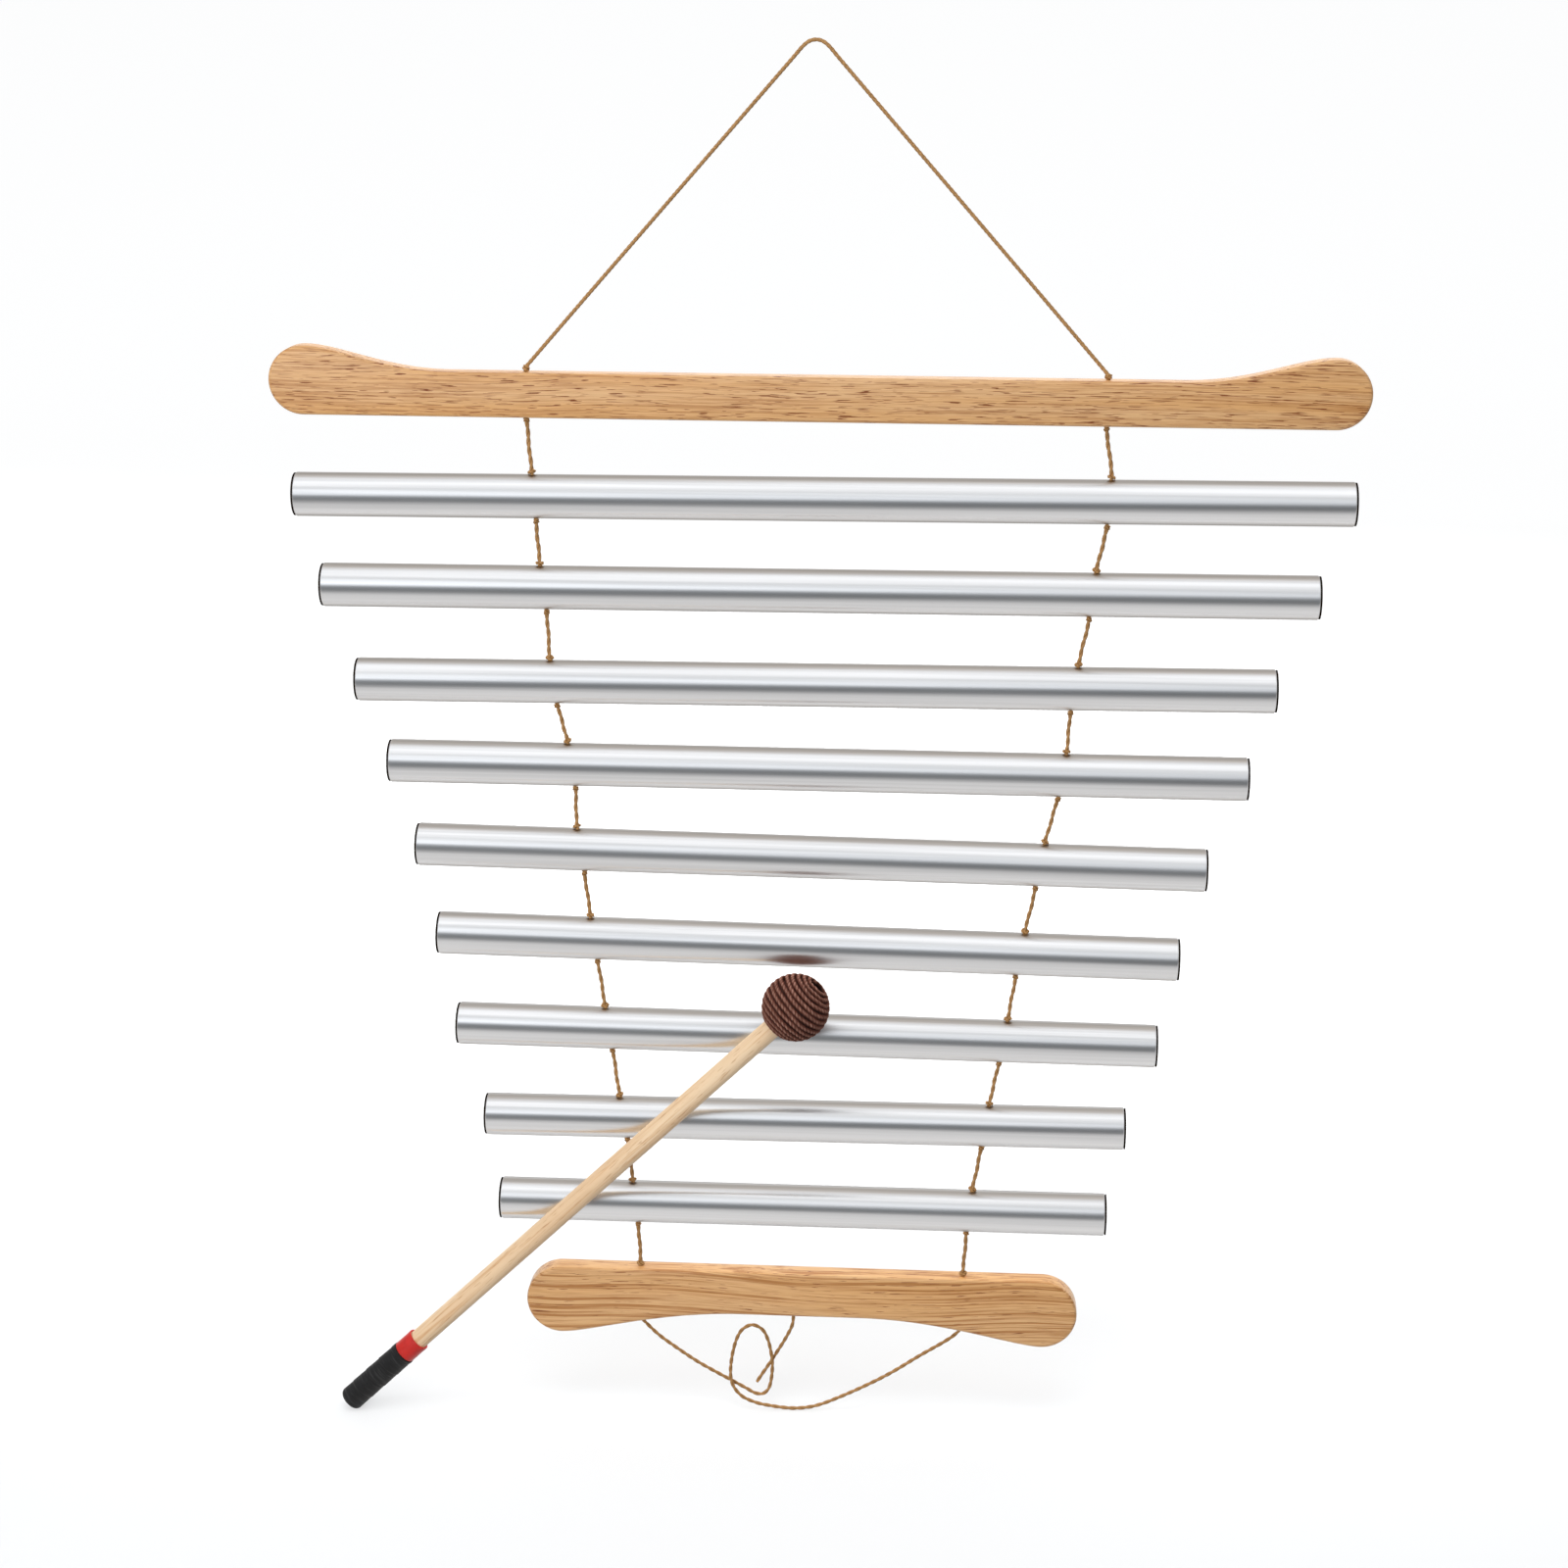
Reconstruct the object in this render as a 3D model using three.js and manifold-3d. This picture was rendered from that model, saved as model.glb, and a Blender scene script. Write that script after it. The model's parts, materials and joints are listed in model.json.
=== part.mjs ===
// A hanging bar chime: nine closed aluminium tubes strung like a ladder on two cords between
// an upper and a lower wooden bar, with a yarn-wound mallet that leans on the seventh tube.
//
// Millimetres, +Z up, +X to the player's right, front towards -Y. The origin is the spot under
// the top of the hanger cord where a hook carries the chime, so everything else lies below it.
// Every level (upper bar, nine tubes, lower bar) has an origin of its own, a sideways shift, a
// small tilt, and two upright holes; the cords take all their points from those levels.
import * as THREE from 'three';
import { mergeVertices } from 'three/addons/utils/BufferGeometryUtils.js';
import Module from 'manifold-3d';

// Clearance between neighbours that touch on the real chime
const clearance = 0.3;

// Tubes: one stock size, cut to nine lengths, drilled near the points 22.4 percent in from the
// ends, where a free bar rings without moving
const tubeDiameter = 20;
const tubeWall = 1.5;
const tubeChamfer = 0.6;
const tubeLengths = [477, 452, 420, 395, 366, 346, 329, 303, 289];
const holeShares = [0.228, 0.2235, 0.2155, 0.213, 0.2075, 0.2105, 0.216, 0.215, 0.222];

// How the tubes hang: height of each tube under the piece above it, measured between centres
// (the first one from the upper bar's underside), sideways shift, and droop of the right end
const tubeDrops = [35.3, 42.2, 43.9, 40.1, 42.1, 43.5, 44, 43.8, 43.6];
const tubeShifts = [3.5, 2.3, 1, 2.7, 0.2, -0.9, -1, -1.4, -2];
const tubeDroops = [-0.4, -0.3, -0.4, 0, 0.6, 0.7, 0.4, -0.3, -0.1];

// End caps: a low dome with a plug
const capInset = 0.5;
const capEdge = 0.4;
const capDome = 0.6;
const capPlugLength = 6;

// Wooden bars: straight edge towards the tubes, lobed ends, slim waist
const barThickness = 12;
const barRounding = 1.2;
const topBarLength = 492;
const topBarLobeHeight = 31;
const topBarWaistHeight = 20.2;
const topBarBlend = 66;
const topBarLobeEase = 16;
const topBarWaistEase = 30;
const topBarShift = 1;
const topBarHoleOffset = 130;
const topBarUnderside = -164.9;
const bottomBarLength = 266;
const bottomBarLobeHeight = 34;
const bottomBarWaistHeight = 22;
const bottomBarBlend = 87;
const bottomBarLobeEase = 13;
const bottomBarWaistEase = 40;
const bottomBarShift = -2;
const bottomBarHoleOffset = 78;
const bottomBarDrop = 33.6;
const tailHoleOffset = -3.5;
const tailHoleDepth = 12;

// Cords, their knots and the holes they pass through
const cordDiameter = 1.8;
const cordPlay = 0.4;
const cordHole = cordDiameter + 2 * cordPlay;
const knotDiameter = 3.6;
const knotShoulder = 0.7;

// Hanger cord, from the left knot over the hook to the right knot (x, z); y is 0
const hangerRise = [
  [-105, -115.1], [-75, -80.9], [-45, -46.7], [-20, -18.2], [-10, -6.8], [-5.3, -1.5], [-2.8, 0.3],
  [0, 0.9],
  [2.8, 0.3], [5.3, -1.5], [10, -6.8], [20, -18], [45, -46], [75, -79.6], [105, -113.3],
];

// Cord that joins the two ladder cords under the lower bar, with the curl it lies in (x, y, z)
const loopRoute = [
  [-79.6, 0, -608], [-75.5, 0.1, -611.3], [-64, 0.4, -619.2], [-53, 0.7, -627], [-44, 1, -632.4],
  [-34.5, 1.4, -637.8], [-28.5, 1.5, -641.2], [-24, 1.4, -643.6], [-20.4, 1.2, -643.6],
  [-17.8, 1, -641], [-16.4, 0.8, -636], [-15.9, 0.6, -626], [-18.2, 0.3, -613.8], [-21, 0.1, -608.7],
  [-25.6, 0, -606.6], [-30.2, -0.2, -608.8], [-33.2, -0.5, -614], [-36, -1, -628], [-35.4, -1.4, -637],
  [-31.2, -1.5, -643.4], [-24, -1.2, -647.2], [-15.8, -0.9, -649], [-4.7, -0.5, -650],
  [5, -0.2, -648.6], [17.3, 0, -643.4], [39.2, 0, -631.4], [57, 0, -619.2], [69, 0, -611.2],
  [74.6, 0, -608.2],
];

// Loose tail of cord under the lower bar (x, y, z)
const tailRoute = [
  [-5.6, 0, -601], [-6.2, 0.4, -606], [-8.6, 1.4, -612], [-11.6, 2.4, -618], [-14.9, 3.1, -624],
  [-18.2, 3.1, -629.6], [-21, 2.9, -634], [-23.4, 2.6, -638],
];

// Mallet: stick, grip and band on the stick, and a ball wound with yarn
const malletLength = 319;
const stickDiameter = 9.5;
const stickDepthInHead = 15;
const gripLength = 38.5;
const gripWall = 0.95;
const gripRounding = 2;
const gripEnd = 1.5;
const bandLength = 10.2;
const bandWall = 0.75;
const headDiameter = 32;
const yarnDiameter = 2.2;
const yarnSpacing = 2.65;
const yarnFirstLoopPlay = 0.6;
const yarnLastLoopRadius = 2.85;

// How the mallet stands: its foot on the floor, its head against the front of one tube
const floorLevel = -651;
const leaningTube = 7;
const leanAngle = 47.9;
const headAcross = -4.7;
const footForward = 13.2;

// How finely round things are drawn
const outlineSteps = 7;
const roundingSteps = 2;
const tubeSides = 20;
const capSides = 16;
const capDomeRings = 2;
const holeSides = 8;
const cordSides = 8;
const cordStep = 3 * cordDiameter;
const turnedSides = 20;
const coreRings = 7;
const gripEndRings = 3;
const yarnStepsPerLoop = 22;
const yarnSides = 6;
const weldDistance = 1e-4;

const wasm = await Module();
wasm.setup();

const group = new THREE.Group();
const rad = THREE.MathUtils.degToRad;
const upAxis = new THREE.Vector3(0, 1, 0);

// Turn a three.js geometry into a solid that can be cut and joined
function solidOf(geometry) {
  const bare = geometry.clone();
  for (const name of ['normal', 'uv']) {
    bare.deleteAttribute(name);
  }
  const merged = mergeVertices(bare, weldDistance);
  const vertProperties = Float32Array.from(merged.attributes.position.array);
  const triVerts = Uint32Array.from(merged.index.array);
  return new wasm.Manifold(new wasm.Mesh({ numProp: 3, vertProperties, triVerts }));
}

// Turn a solid back into a geometry
function geometryOf(solid) {
  const mesh = solid.getMesh();
  const geometry = new THREE.BufferGeometry();
  geometry.setAttribute('position', new THREE.Float32BufferAttribute(mesh.vertProperties, 3));
  geometry.setIndex(Array.from(mesh.triVerts));
  return geometry;
}

function paint(color, roughness, metalness = 0) {
  return new THREE.MeshStandardMaterial({ color, roughness, metalness });
}

const finishes = {
  aluminium: () => paint(0xc9cbce, 0.25, 1),
  cap: () => paint(0x2f2723, 0.55),
  oak: () => paint(0xd2a370, 0.6),
  cord: () => paint(0xa67c46, 0.85),
  birch: () => paint(0xe3c79a, 0.55),
  yarn: () => paint(0x54332a, 0.95),
  redTape: () => paint(0xb3241b, 0.4),
  blackTape: () => paint(0x1d1c1d, 0.6),
};

function addPiece(name, geometry, material, parent = group) {
  const mesh = new THREE.Mesh(geometry, material);
  mesh.name = name;
  parent.add(mesh);
  return mesh;
}

// A straight round bar between two points
function rodBetween(from, to, diameter, sides) {
  const along = new THREE.Vector3().subVectors(to, from);
  const rod = new THREE.CylinderGeometry(diameter / 2, diameter / 2, along.length(), sides);
  rod.applyQuaternion(new THREE.Quaternion().setFromUnitVectors(upAxis, along.clone().normalize()));
  const middle = new THREE.Vector3().addVectors(from, to).multiplyScalar(0.5);
  rod.translate(middle.x, middle.y, middle.z);
  return rod;
}

// A cord along a smooth curve through chosen points
function cordAlong(points) {
  const curve = new THREE.CatmullRomCurve3(points, false, 'centripetal');
  const corners = [];
  for (let i = 0; i < cordSides; i += 1) {
    const angle = (2 * Math.PI * i) / cordSides;
    corners.push(new THREE.Vector2(Math.cos(angle), Math.sin(angle)).multiplyScalar(cordDiameter / 2));
  }
  const steps = Math.ceil(curve.getLength() / cordStep);
  return new THREE.ExtrudeGeometry(new THREE.Shape(corners), { steps, extrudePath: curve });
}

// A closed tube through stations, each a point and a radius: one ring of corners at each
// station, turned as little as can be from one to the next, and a fan at each end
function tubeThrough(stations, sides) {
  const positions = [];
  const index = [];
  const count = stations.length;
  const tangentAt = (i) => new THREE.Vector3()
    .subVectors(stations[Math.min(i + 1, count - 1)].point, stations[Math.max(i - 1, 0)].point)
    .normalize();
  const start = tangentAt(0);
  const across = new THREE.Vector3(-start.y, start.x, 0);
  if (across.lengthSq() === 0) {
    across.set(1, 0, 0);
  }
  stations.forEach(({ point, radius }, i) => {
    const tangent = tangentAt(i);
    across.addScaledVector(tangent, -across.dot(tangent)).normalize();
    const other = new THREE.Vector3().crossVectors(tangent, across);
    for (let k = 0; k < sides; k += 1) {
      const angle = (2 * Math.PI * k) / sides;
      const corner = point.clone()
        .addScaledVector(across, radius * Math.cos(angle))
        .addScaledVector(other, radius * Math.sin(angle));
      positions.push(corner.x, corner.y, corner.z);
    }
  });
  for (let i = 0; i + 1 < count; i += 1) {
    for (let k = 0; k < sides; k += 1) {
      const a = i * sides + k;
      const b = i * sides + ((k + 1) % sides);
      index.push(a, b, b + sides, a, b + sides, a + sides);
    }
  }
  const last = (count - 1) * sides;
  for (let k = 1; k + 1 < sides; k += 1) {
    index.push(0, k + 1, k, last, last + k, last + k + 1);
  }
  const geometry = new THREE.BufferGeometry();
  geometry.setAttribute('position', new THREE.Float32BufferAttribute(positions, 3));
  geometry.setIndex(index);
  return geometry;
}

// Stations of a knot on a cord that comes in one way and goes out another
function knotStations(centre, wayIn, wayOut) {
  const station = (way, along, diameter) => ({
    point: centre.clone().addScaledVector(way, along),
    radius: diameter / 2,
  });
  return [
    station(wayIn, -knotDiameter / 2, cordDiameter),
    station(wayIn, -knotShoulder, knotDiameter),
    station(wayOut, knotShoulder, knotDiameter),
    station(wayOut, knotDiameter / 2, cordDiameter),
  ];
}

// Levels of the ladder, from the upper bar (0) to the lower bar (10)
const levels = [{
  x: topBarShift,
  z: topBarUnderside,
  droop: 0,
  slant: 0,
  hole: topBarHoleOffset,
  above: topBarWaistHeight,
  below: 0,
}];
tubeLengths.forEach((length, i) => {
  levels.push({
    x: tubeShifts[i],
    z: levels[i].z - tubeDrops[i],
    droop: tubeDroops[i],
    hole: length * (0.5 - holeShares[i]),
    above: tubeDiameter / 2,
    below: -tubeDiameter / 2,
    length,
  });
});
const bottomBarTop = levels[tubeLengths.length].z - bottomBarDrop;

// Outline of a bar: straight edge on y = 0, semicircular lobes, waist between two eased blends
function barOutline(length, lobeHeight, waistHeight, blend, lobeEase, waistEase) {
  const lobe = lobeHeight / 2;
  const centre = length / 2 - lobe;
  const waist = centre - blend;
  const outline = new THREE.Shape();
  outline.moveTo(-centre, 0);
  outline.lineTo(centre, 0);
  outline.absarc(centre, lobe, lobe, -Math.PI / 2, Math.PI / 2, false);
  outline.bezierCurveTo(centre - lobeEase, lobeHeight, waist + waistEase, waistHeight, waist, waistHeight);
  outline.lineTo(-waist, waistHeight);
  outline.bezierCurveTo(-waist - waistEase, waistHeight, -centre + lobeEase, lobeHeight, -centre, lobeHeight);
  outline.absarc(-centre, lobe, lobe, Math.PI / 2, (3 * Math.PI) / 2, false);
  return outline;
}

// Height of a bar's lobed edge at a distance from its middle, between two points of its outline
function edgeHeight(outline, across) {
  const points = outline.getPoints(outlineSteps);
  const next = points.findIndex((p) => p.y > 0 && p.x <= across);
  const outer = points[next - 1];
  const inner = points[next];
  return outer.y + ((inner.y - outer.y) * (outer.x - across)) / (outer.x - inner.x);
}

// Solid of a bar, its straight edge on z = 0 and its lobed edge upwards
function barSolid(outline) {
  const geometry = new THREE.ExtrudeGeometry(outline, {
    depth: barThickness - 2 * barRounding,
    curveSegments: outlineSteps,
    bevelThickness: barRounding,
    bevelSize: barRounding,
    bevelOffset: -barRounding,
    bevelSegments: roundingSteps,
  });
  geometry.translate(0, 0, -barThickness / 2 + barRounding);
  geometry.rotateX(Math.PI / 2);
  return solidOf(geometry);
}

function drill(solid, x, fromZ, toZ, slant = 0) {
  const from = new THREE.Vector3(x + slant * fromZ, 0, fromZ);
  const to = new THREE.Vector3(x + slant * toZ, 0, toZ);
  return solid.subtract(solidOf(rodBetween(from, to, cordHole, holeSides)));
}

const topOutline = barOutline(
  topBarLength, topBarLobeHeight, topBarWaistHeight, topBarBlend, topBarLobeEase, topBarWaistEase,
);
const bottomOutline = barOutline(
  bottomBarLength, bottomBarLobeHeight, bottomBarWaistHeight,
  bottomBarBlend, bottomBarLobeEase, bottomBarWaistEase,
);
const bottomHoleHeight = edgeHeight(bottomOutline, bottomBarHoleOffset);
levels.push({
  x: bottomBarShift,
  z: bottomBarTop,
  droop: 0,
  slant: 0,
  hole: bottomBarHoleOffset,
  above: 0,
  below: -bottomHoleHeight,
});
const lastLevel = levels.length - 1;

// The tubes' holes slant along the line from the holes above to the holes below
for (let level = 1; level < lastLevel; level += 1) {
  const [upper, lower] = [levels[level - 1], levels[level + 1]];
  levels[level].slant = (upper.hole - lower.hole) / (upper.z - lower.z);
}

// World position of a point given in a level's own frame
function onLevel(level, across, up) {
  const turn = rad(levels[level].droop);
  return new THREE.Vector3(
    levels[level].x + across * Math.cos(turn) + up * Math.sin(turn),
    0,
    levels[level].z - across * Math.sin(turn) + up * Math.cos(turn),
  );
}

function levelGroup(level) {
  const frame = new THREE.Group();
  frame.position.set(levels[level].x, 0, levels[level].z);
  frame.rotation.y = rad(levels[level].droop);
  group.add(frame);
  return frame;
}

// Upper bar, with a hole for each cord
function makeTopBar() {
  let solid = barSolid(topOutline);
  for (const side of [-1, 1]) {
    solid = drill(solid, side * topBarHoleOffset, -clearance, topBarLobeHeight);
  }
  addPiece('top_bar', geometryOf(solid), finishes.oak(), levelGroup(0));
}

// Lower bar, upside down: two cord holes and a blind hole for the tail
function makeBottomBar() {
  let solid = barSolid(bottomOutline);
  for (const side of [-1, 1]) {
    solid = drill(solid, side * bottomBarHoleOffset, -clearance, bottomBarLobeHeight);
  }
  solid = drill(solid, -tailHoleOffset, bottomBarWaistHeight - tailHoleDepth, bottomBarLobeHeight);
  const geometry = geometryOf(solid);
  geometry.rotateY(Math.PI);
  addPiece('bottom_bar', geometry, finishes.oak(), levelGroup(lastLevel));
}

// A tube along X: turned ring profile with chamfered ends, drilled top and bottom
function tubeGeometry({ length, hole, slant }) {
  const outer = tubeDiameter / 2;
  const inner = outer - tubeWall;
  const half = length / 2;
  const profile = [
    [inner, -half], [outer - tubeChamfer, -half], [outer, -half + tubeChamfer],
    [outer, half - tubeChamfer], [outer - tubeChamfer, half], [inner, half], [inner, -half],
  ].map(([x, y]) => new THREE.Vector2(x, y));
  const turned = new THREE.LatheGeometry(profile, tubeSides);
  turned.rotateZ(-Math.PI / 2);
  let solid = solidOf(turned);
  for (const side of [-1, 1]) {
    solid = drill(solid, side * hole, -tubeDiameter, tubeDiameter, side * slant);
  }
  return geometryOf(solid);
}

// An end cap along +X, its dome outwards and its plug in the bore
function capGeometry() {
  const rim = tubeDiameter / 2 - capInset;
  const plug = tubeDiameter / 2 - tubeWall - clearance;
  const pairs = [[0, -capPlugLength], [plug, -capPlugLength], [plug, 0], [rim, 0]];
  for (let i = 0; i <= capDomeRings; i += 1) {
    const out = 1 - i / capDomeRings;
    pairs.push([rim * out, capEdge + capDome * (1 - out * out)]);
  }
  const cap = new THREE.LatheGeometry(pairs.map((pair) => new THREE.Vector2(...pair)), capSides);
  cap.rotateZ(-Math.PI / 2);
  return cap;
}

function makeTubes() {
  tubeLengths.forEach((length, i) => {
    const number = i + 1;
    const frame = levelGroup(number);
    addPiece(`tube_${number}`, tubeGeometry(levels[number]), finishes.aluminium(), frame);
    for (const side of [-1, 1]) {
      const name = `${side < 0 ? 'cap_left' : 'cap_right'}_${number}`;
      const cap = addPiece(name, capGeometry(), finishes.cap(), frame);
      cap.position.x = side * (length / 2 + clearance);
      cap.rotation.y = side < 0 ? Math.PI : 0;
    }
  });
}

// Height of a knot's centre above or below the mouth of a hole
const knotStandoff = clearance + knotDiameter / 2;

// A point of a hole's axis, by its height on the level
function onHole(level, side, up) {
  const { hole, slant } = levels[level];
  return onLevel(level, side * (hole + slant * up), up);
}

// One stretch of ladder cord: the knot under the piece above, the strand, the knot on top of
// the next piece, and the stretch that passes down through that piece
function ladderCord(level, side) {
  const upper = levels[level - 1];
  const lower = levels[level];
  const underKnot = onHole(level - 1, side, upper.below - knotStandoff);
  const topKnot = onHole(level, side, lower.above + knotStandoff);
  const exit = onHole(level, side, lower.below);
  const slant = new THREE.Vector3().subVectors(topKnot, underKnot).normalize();
  const down = new THREE.Vector3().subVectors(exit, topKnot).normalize();
  const stations = [
    ...knotStations(underKnot, slant, slant),
    ...knotStations(topKnot, slant, down),
    { point: exit, radius: cordDiameter / 2 },
  ];
  return tubeThrough(stations, cordSides);
}

function makeLadderCords() {
  for (const side of [-1, 1]) {
    const word = side < 0 ? 'left' : 'right';
    const mouth = onHole(0, side, levels[0].below);
    const top = onHole(0, side, levels[0].above);
    const through = rodBetween(mouth, top, cordDiameter, cordSides);
    addPiece(`bar_cord_${word}`, through, finishes.cord());
    for (let level = 1; level <= lastLevel; level += 1) {
      addPiece(`cord_${word}_${level}`, ladderCord(level, side), finishes.cord());
    }
  }
}

// Hanger cord: knotted on top of the upper bar at both ends
function makeHanger() {
  const height = levels[0].above + knotStandoff;
  const ends = [-1, 1].map((side) => onHole(0, side, height));
  const points = [ends[0], ...hangerRise.map(([x, z]) => new THREE.Vector3(x, 0, z)), ends[1]];
  let solid = solidOf(cordAlong(points));
  for (const end of ends) {
    const up = new THREE.Vector3(0, 0, 1);
    solid = solid.add(solidOf(tubeThrough(knotStations(end, up, up), cordSides)));
  }
  addPiece('hanger_cord', geometryOf(solid), finishes.cord());
}

// Cord under the lower bar: leaves the left hole, curls once and returns to the right hole
function makeLowerLoop() {
  const height = -bottomHoleHeight - clearance;
  const ends = [-1, 1].map((side) => onHole(lastLevel, side, height));
  const points = [ends[0], ...loopRoute.map((p) => new THREE.Vector3(...p)), ends[1]];
  addPiece('lower_loop_cord', cordAlong(points), finishes.cord());
}

// Tail: a short free end held in the blind hole
function makeTail() {
  const root = onLevel(lastLevel, tailHoleOffset, -bottomBarWaistHeight + tailHoleDepth - clearance);
  const points = [root, ...tailRoute.map((p) => new THREE.Vector3(...p))];
  addPiece('tail_cord', cordAlong(points), finishes.cord());
}

const headRadius = headDiameter / 2;
const stickRadius = stickDiameter / 2;
const gripRadius = stickRadius + clearance + gripWall;
const bandRadius = stickRadius + clearance + bandWall;

// Where the middle of the head is: before and above the tube that it leans on
const leanLevel = levels[leaningTube];
const headStandoff = headRadius + tubeDiameter / 2 + clearance;
const headCentre = new THREE.Vector3(
  headAcross,
  -headStandoff * Math.cos(rad(leanAngle)),
  onLevel(leaningTube, headAcross - leanLevel.x, 0).z + headStandoff * Math.sin(rad(leanAngle)),
);

// Where the middle of the grip's end is, with the round edge of the grip on the floor. The
// steepness t solves (reach - rounding) sin t + (radius - rounding) cos t = rise - rounding
function footPoint() {
  const reach = malletLength - headRadius;
  const rise = headCentre.z - floorLevel;
  const long = reach - gripRounding;
  const short = gripRadius - gripRounding;
  const steepness = Math.asin((rise - gripRounding) / Math.hypot(long, short)) - Math.atan2(short, long);
  const level = reach * Math.cos(steepness);
  const sideways = Math.sqrt(level ** 2 - (headCentre.y + footForward) ** 2);
  return new THREE.Vector3(
    headCentre.x - sideways,
    -footForward,
    headCentre.z - reach * Math.sin(steepness),
  );
}
const foot = footPoint();

// The mallet's own frame: +Z from the foot of the grip to the middle of the head
const malletFrame = new THREE.Group();
malletFrame.position.copy(foot);
malletFrame.quaternion.setFromUnitVectors(
  new THREE.Vector3(0, 0, 1),
  new THREE.Vector3().subVectors(headCentre, foot).normalize(),
);
group.add(malletFrame);

// A turned piece about the mallet's axis from (radius, height) pairs
function turnedOnMallet(pairs) {
  const profile = pairs.map(([radius, height]) => new THREE.Vector2(radius, height));
  const turned = new THREE.LatheGeometry(profile, turnedSides);
  turned.rotateX(Math.PI / 2);
  return turned;
}

// Heights on the mallet's axis, and the radii inside its head
const headHeight = malletLength - headRadius;
const stickTop = malletLength - headDiameter + stickDepthInHead;
const yarnPathRadius = headRadius - yarnDiameter / 2;
const coreRadius = yarnPathRadius - yarnDiameter / 2 - clearance;

function makeStick() {
  const low = gripEnd + clearance;
  const pairs = [[0, low], [stickRadius, low], [stickRadius, stickTop], [0, stickTop]];
  addPiece('mallet_stick', turnedOnMallet(pairs), finishes.birch(), malletFrame);
}

// Ball under the yarn, bored for the stick
function makeCore() {
  const bore = stickRadius + clearance;
  const boreTop = stickTop + clearance;
  const start = Math.asin(bore / coreRadius);
  const pairs = [[0, boreTop], [bore, boreTop]];
  for (let i = 0; i < coreRings; i += 1) {
    const angle = start + ((Math.PI - start) * i) / coreRings;
    pairs.push([coreRadius * Math.sin(angle), headHeight - coreRadius * Math.cos(angle)]);
  }
  pairs.push([0, headHeight + coreRadius]);
  addPiece('mallet_core', turnedOnMallet(pairs), finishes.birch(), malletFrame);
}

// Centre line of the yarn: a spiral over the ball from the stick to the far end. Each end runs
// straight for one diameter: the first back along the stick, the last in over the far pole
function yarnPath() {
  const firstLoopRadius = stickRadius + yarnFirstLoopPlay + yarnDiameter / 2;
  const from = Math.asin(firstLoopRadius / yarnPathRadius);
  const to = Math.PI - Math.asin(yarnLastLoopRadius / yarnPathRadius);
  const loops = Math.floor((yarnPathRadius * (to - from)) / yarnSpacing);
  const steps = loops * yarnStepsPerLoop;
  const points = [];
  for (let i = 0; i <= steps; i += 1) {
    const tip = from + ((to - from) * i) / steps;
    const turn = (2 * Math.PI * i) / yarnStepsPerLoop;
    points.push(new THREE.Vector3(
      yarnPathRadius * Math.sin(tip) * Math.cos(turn),
      yarnPathRadius * Math.sin(tip) * Math.sin(turn),
      headHeight - yarnPathRadius * Math.cos(tip),
    ));
  }
  const runOut = (end, before, turnTo) => {
    const way = new THREE.Vector3().subVectors(end, before).normalize();
    way.add(turnTo).setLength(yarnDiameter);
    return new THREE.Vector3().addVectors(end, way);
  };
  const first = points[0];
  const last = points[points.length - 1];
  const inwards = new THREE.Vector3(-last.x, -last.y, 0).normalize();
  points.unshift(runOut(first, points[1], new THREE.Vector3(0, 0, -1)));
  points.push(runOut(last, points[points.length - 2], inwards));
  return points;
}

// Least gap of a round strand to itself, between points of its centre line that lie at least
// a given number of steps apart
function leastGap(points, diameter, apart) {
  let least = Infinity;
  for (let i = 0; i < points.length; i += 1) {
    for (let j = i + apart; j < points.length; j += 1) {
      least = Math.min(least, points[i].distanceTo(points[j]));
    }
  }
  return least - diameter;
}

function makeYarn() {
  const points = yarnPath();
  const gap = leastGap(points, yarnDiameter, yarnStepsPerLoop / 2);
  console.log(`Least gap of the mallet yarn to itself: ${gap.toFixed(2)} mm`);
  const stations = points.map((point) => ({ point, radius: yarnDiameter / 2 }));
  addPiece('mallet_yarn', tubeThrough(stations, yarnSides), finishes.yarn(), malletFrame);
}

// Red band above the grip
function makeBand() {
  const inner = stickRadius + clearance;
  const low = gripLength + clearance;
  const high = low + bandLength;
  const pairs = [[inner, low], [bandRadius, low], [bandRadius, high], [inner, high], [inner, low]];
  addPiece('mallet_band', turnedOnMallet(pairs), finishes.redTape(), malletFrame);
}

// Taped grip: a closed sleeve with a rounded end
function makeGrip() {
  const inner = stickRadius + clearance;
  const pairs = [[0, 0]];
  for (let i = 0; i <= gripEndRings; i += 1) {
    const angle = (Math.PI / 2) * (i / gripEndRings);
    const radius = gripRadius - gripRounding + gripRounding * Math.sin(angle);
    pairs.push([radius, gripRounding - gripRounding * Math.cos(angle)]);
  }
  pairs.push([gripRadius, gripLength], [inner, gripLength], [inner, gripEnd], [0, gripEnd]);
  addPiece('mallet_grip', turnedOnMallet(pairs), finishes.blackTape(), malletFrame);
}

makeHanger();
makeTopBar();
makeTubes();
makeBottomBar();
makeLadderCords();
makeLowerLoop();
makeTail();
makeStick();
makeCore();
makeYarn();
makeBand();
makeGrip();

export default group;
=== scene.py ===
"""The looks of a hanging bar chime with its mallet, built round its fixed frame of solids.

Everything is in metres, +Z up, front towards -Y. Shapes are grids of points worked out as whole
arrays. A piece's own straight coordinates (along, across, across) are kept in its "laid"
attribute, so that fibres, grain and wraps follow the piece where it bends.
"""

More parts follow.
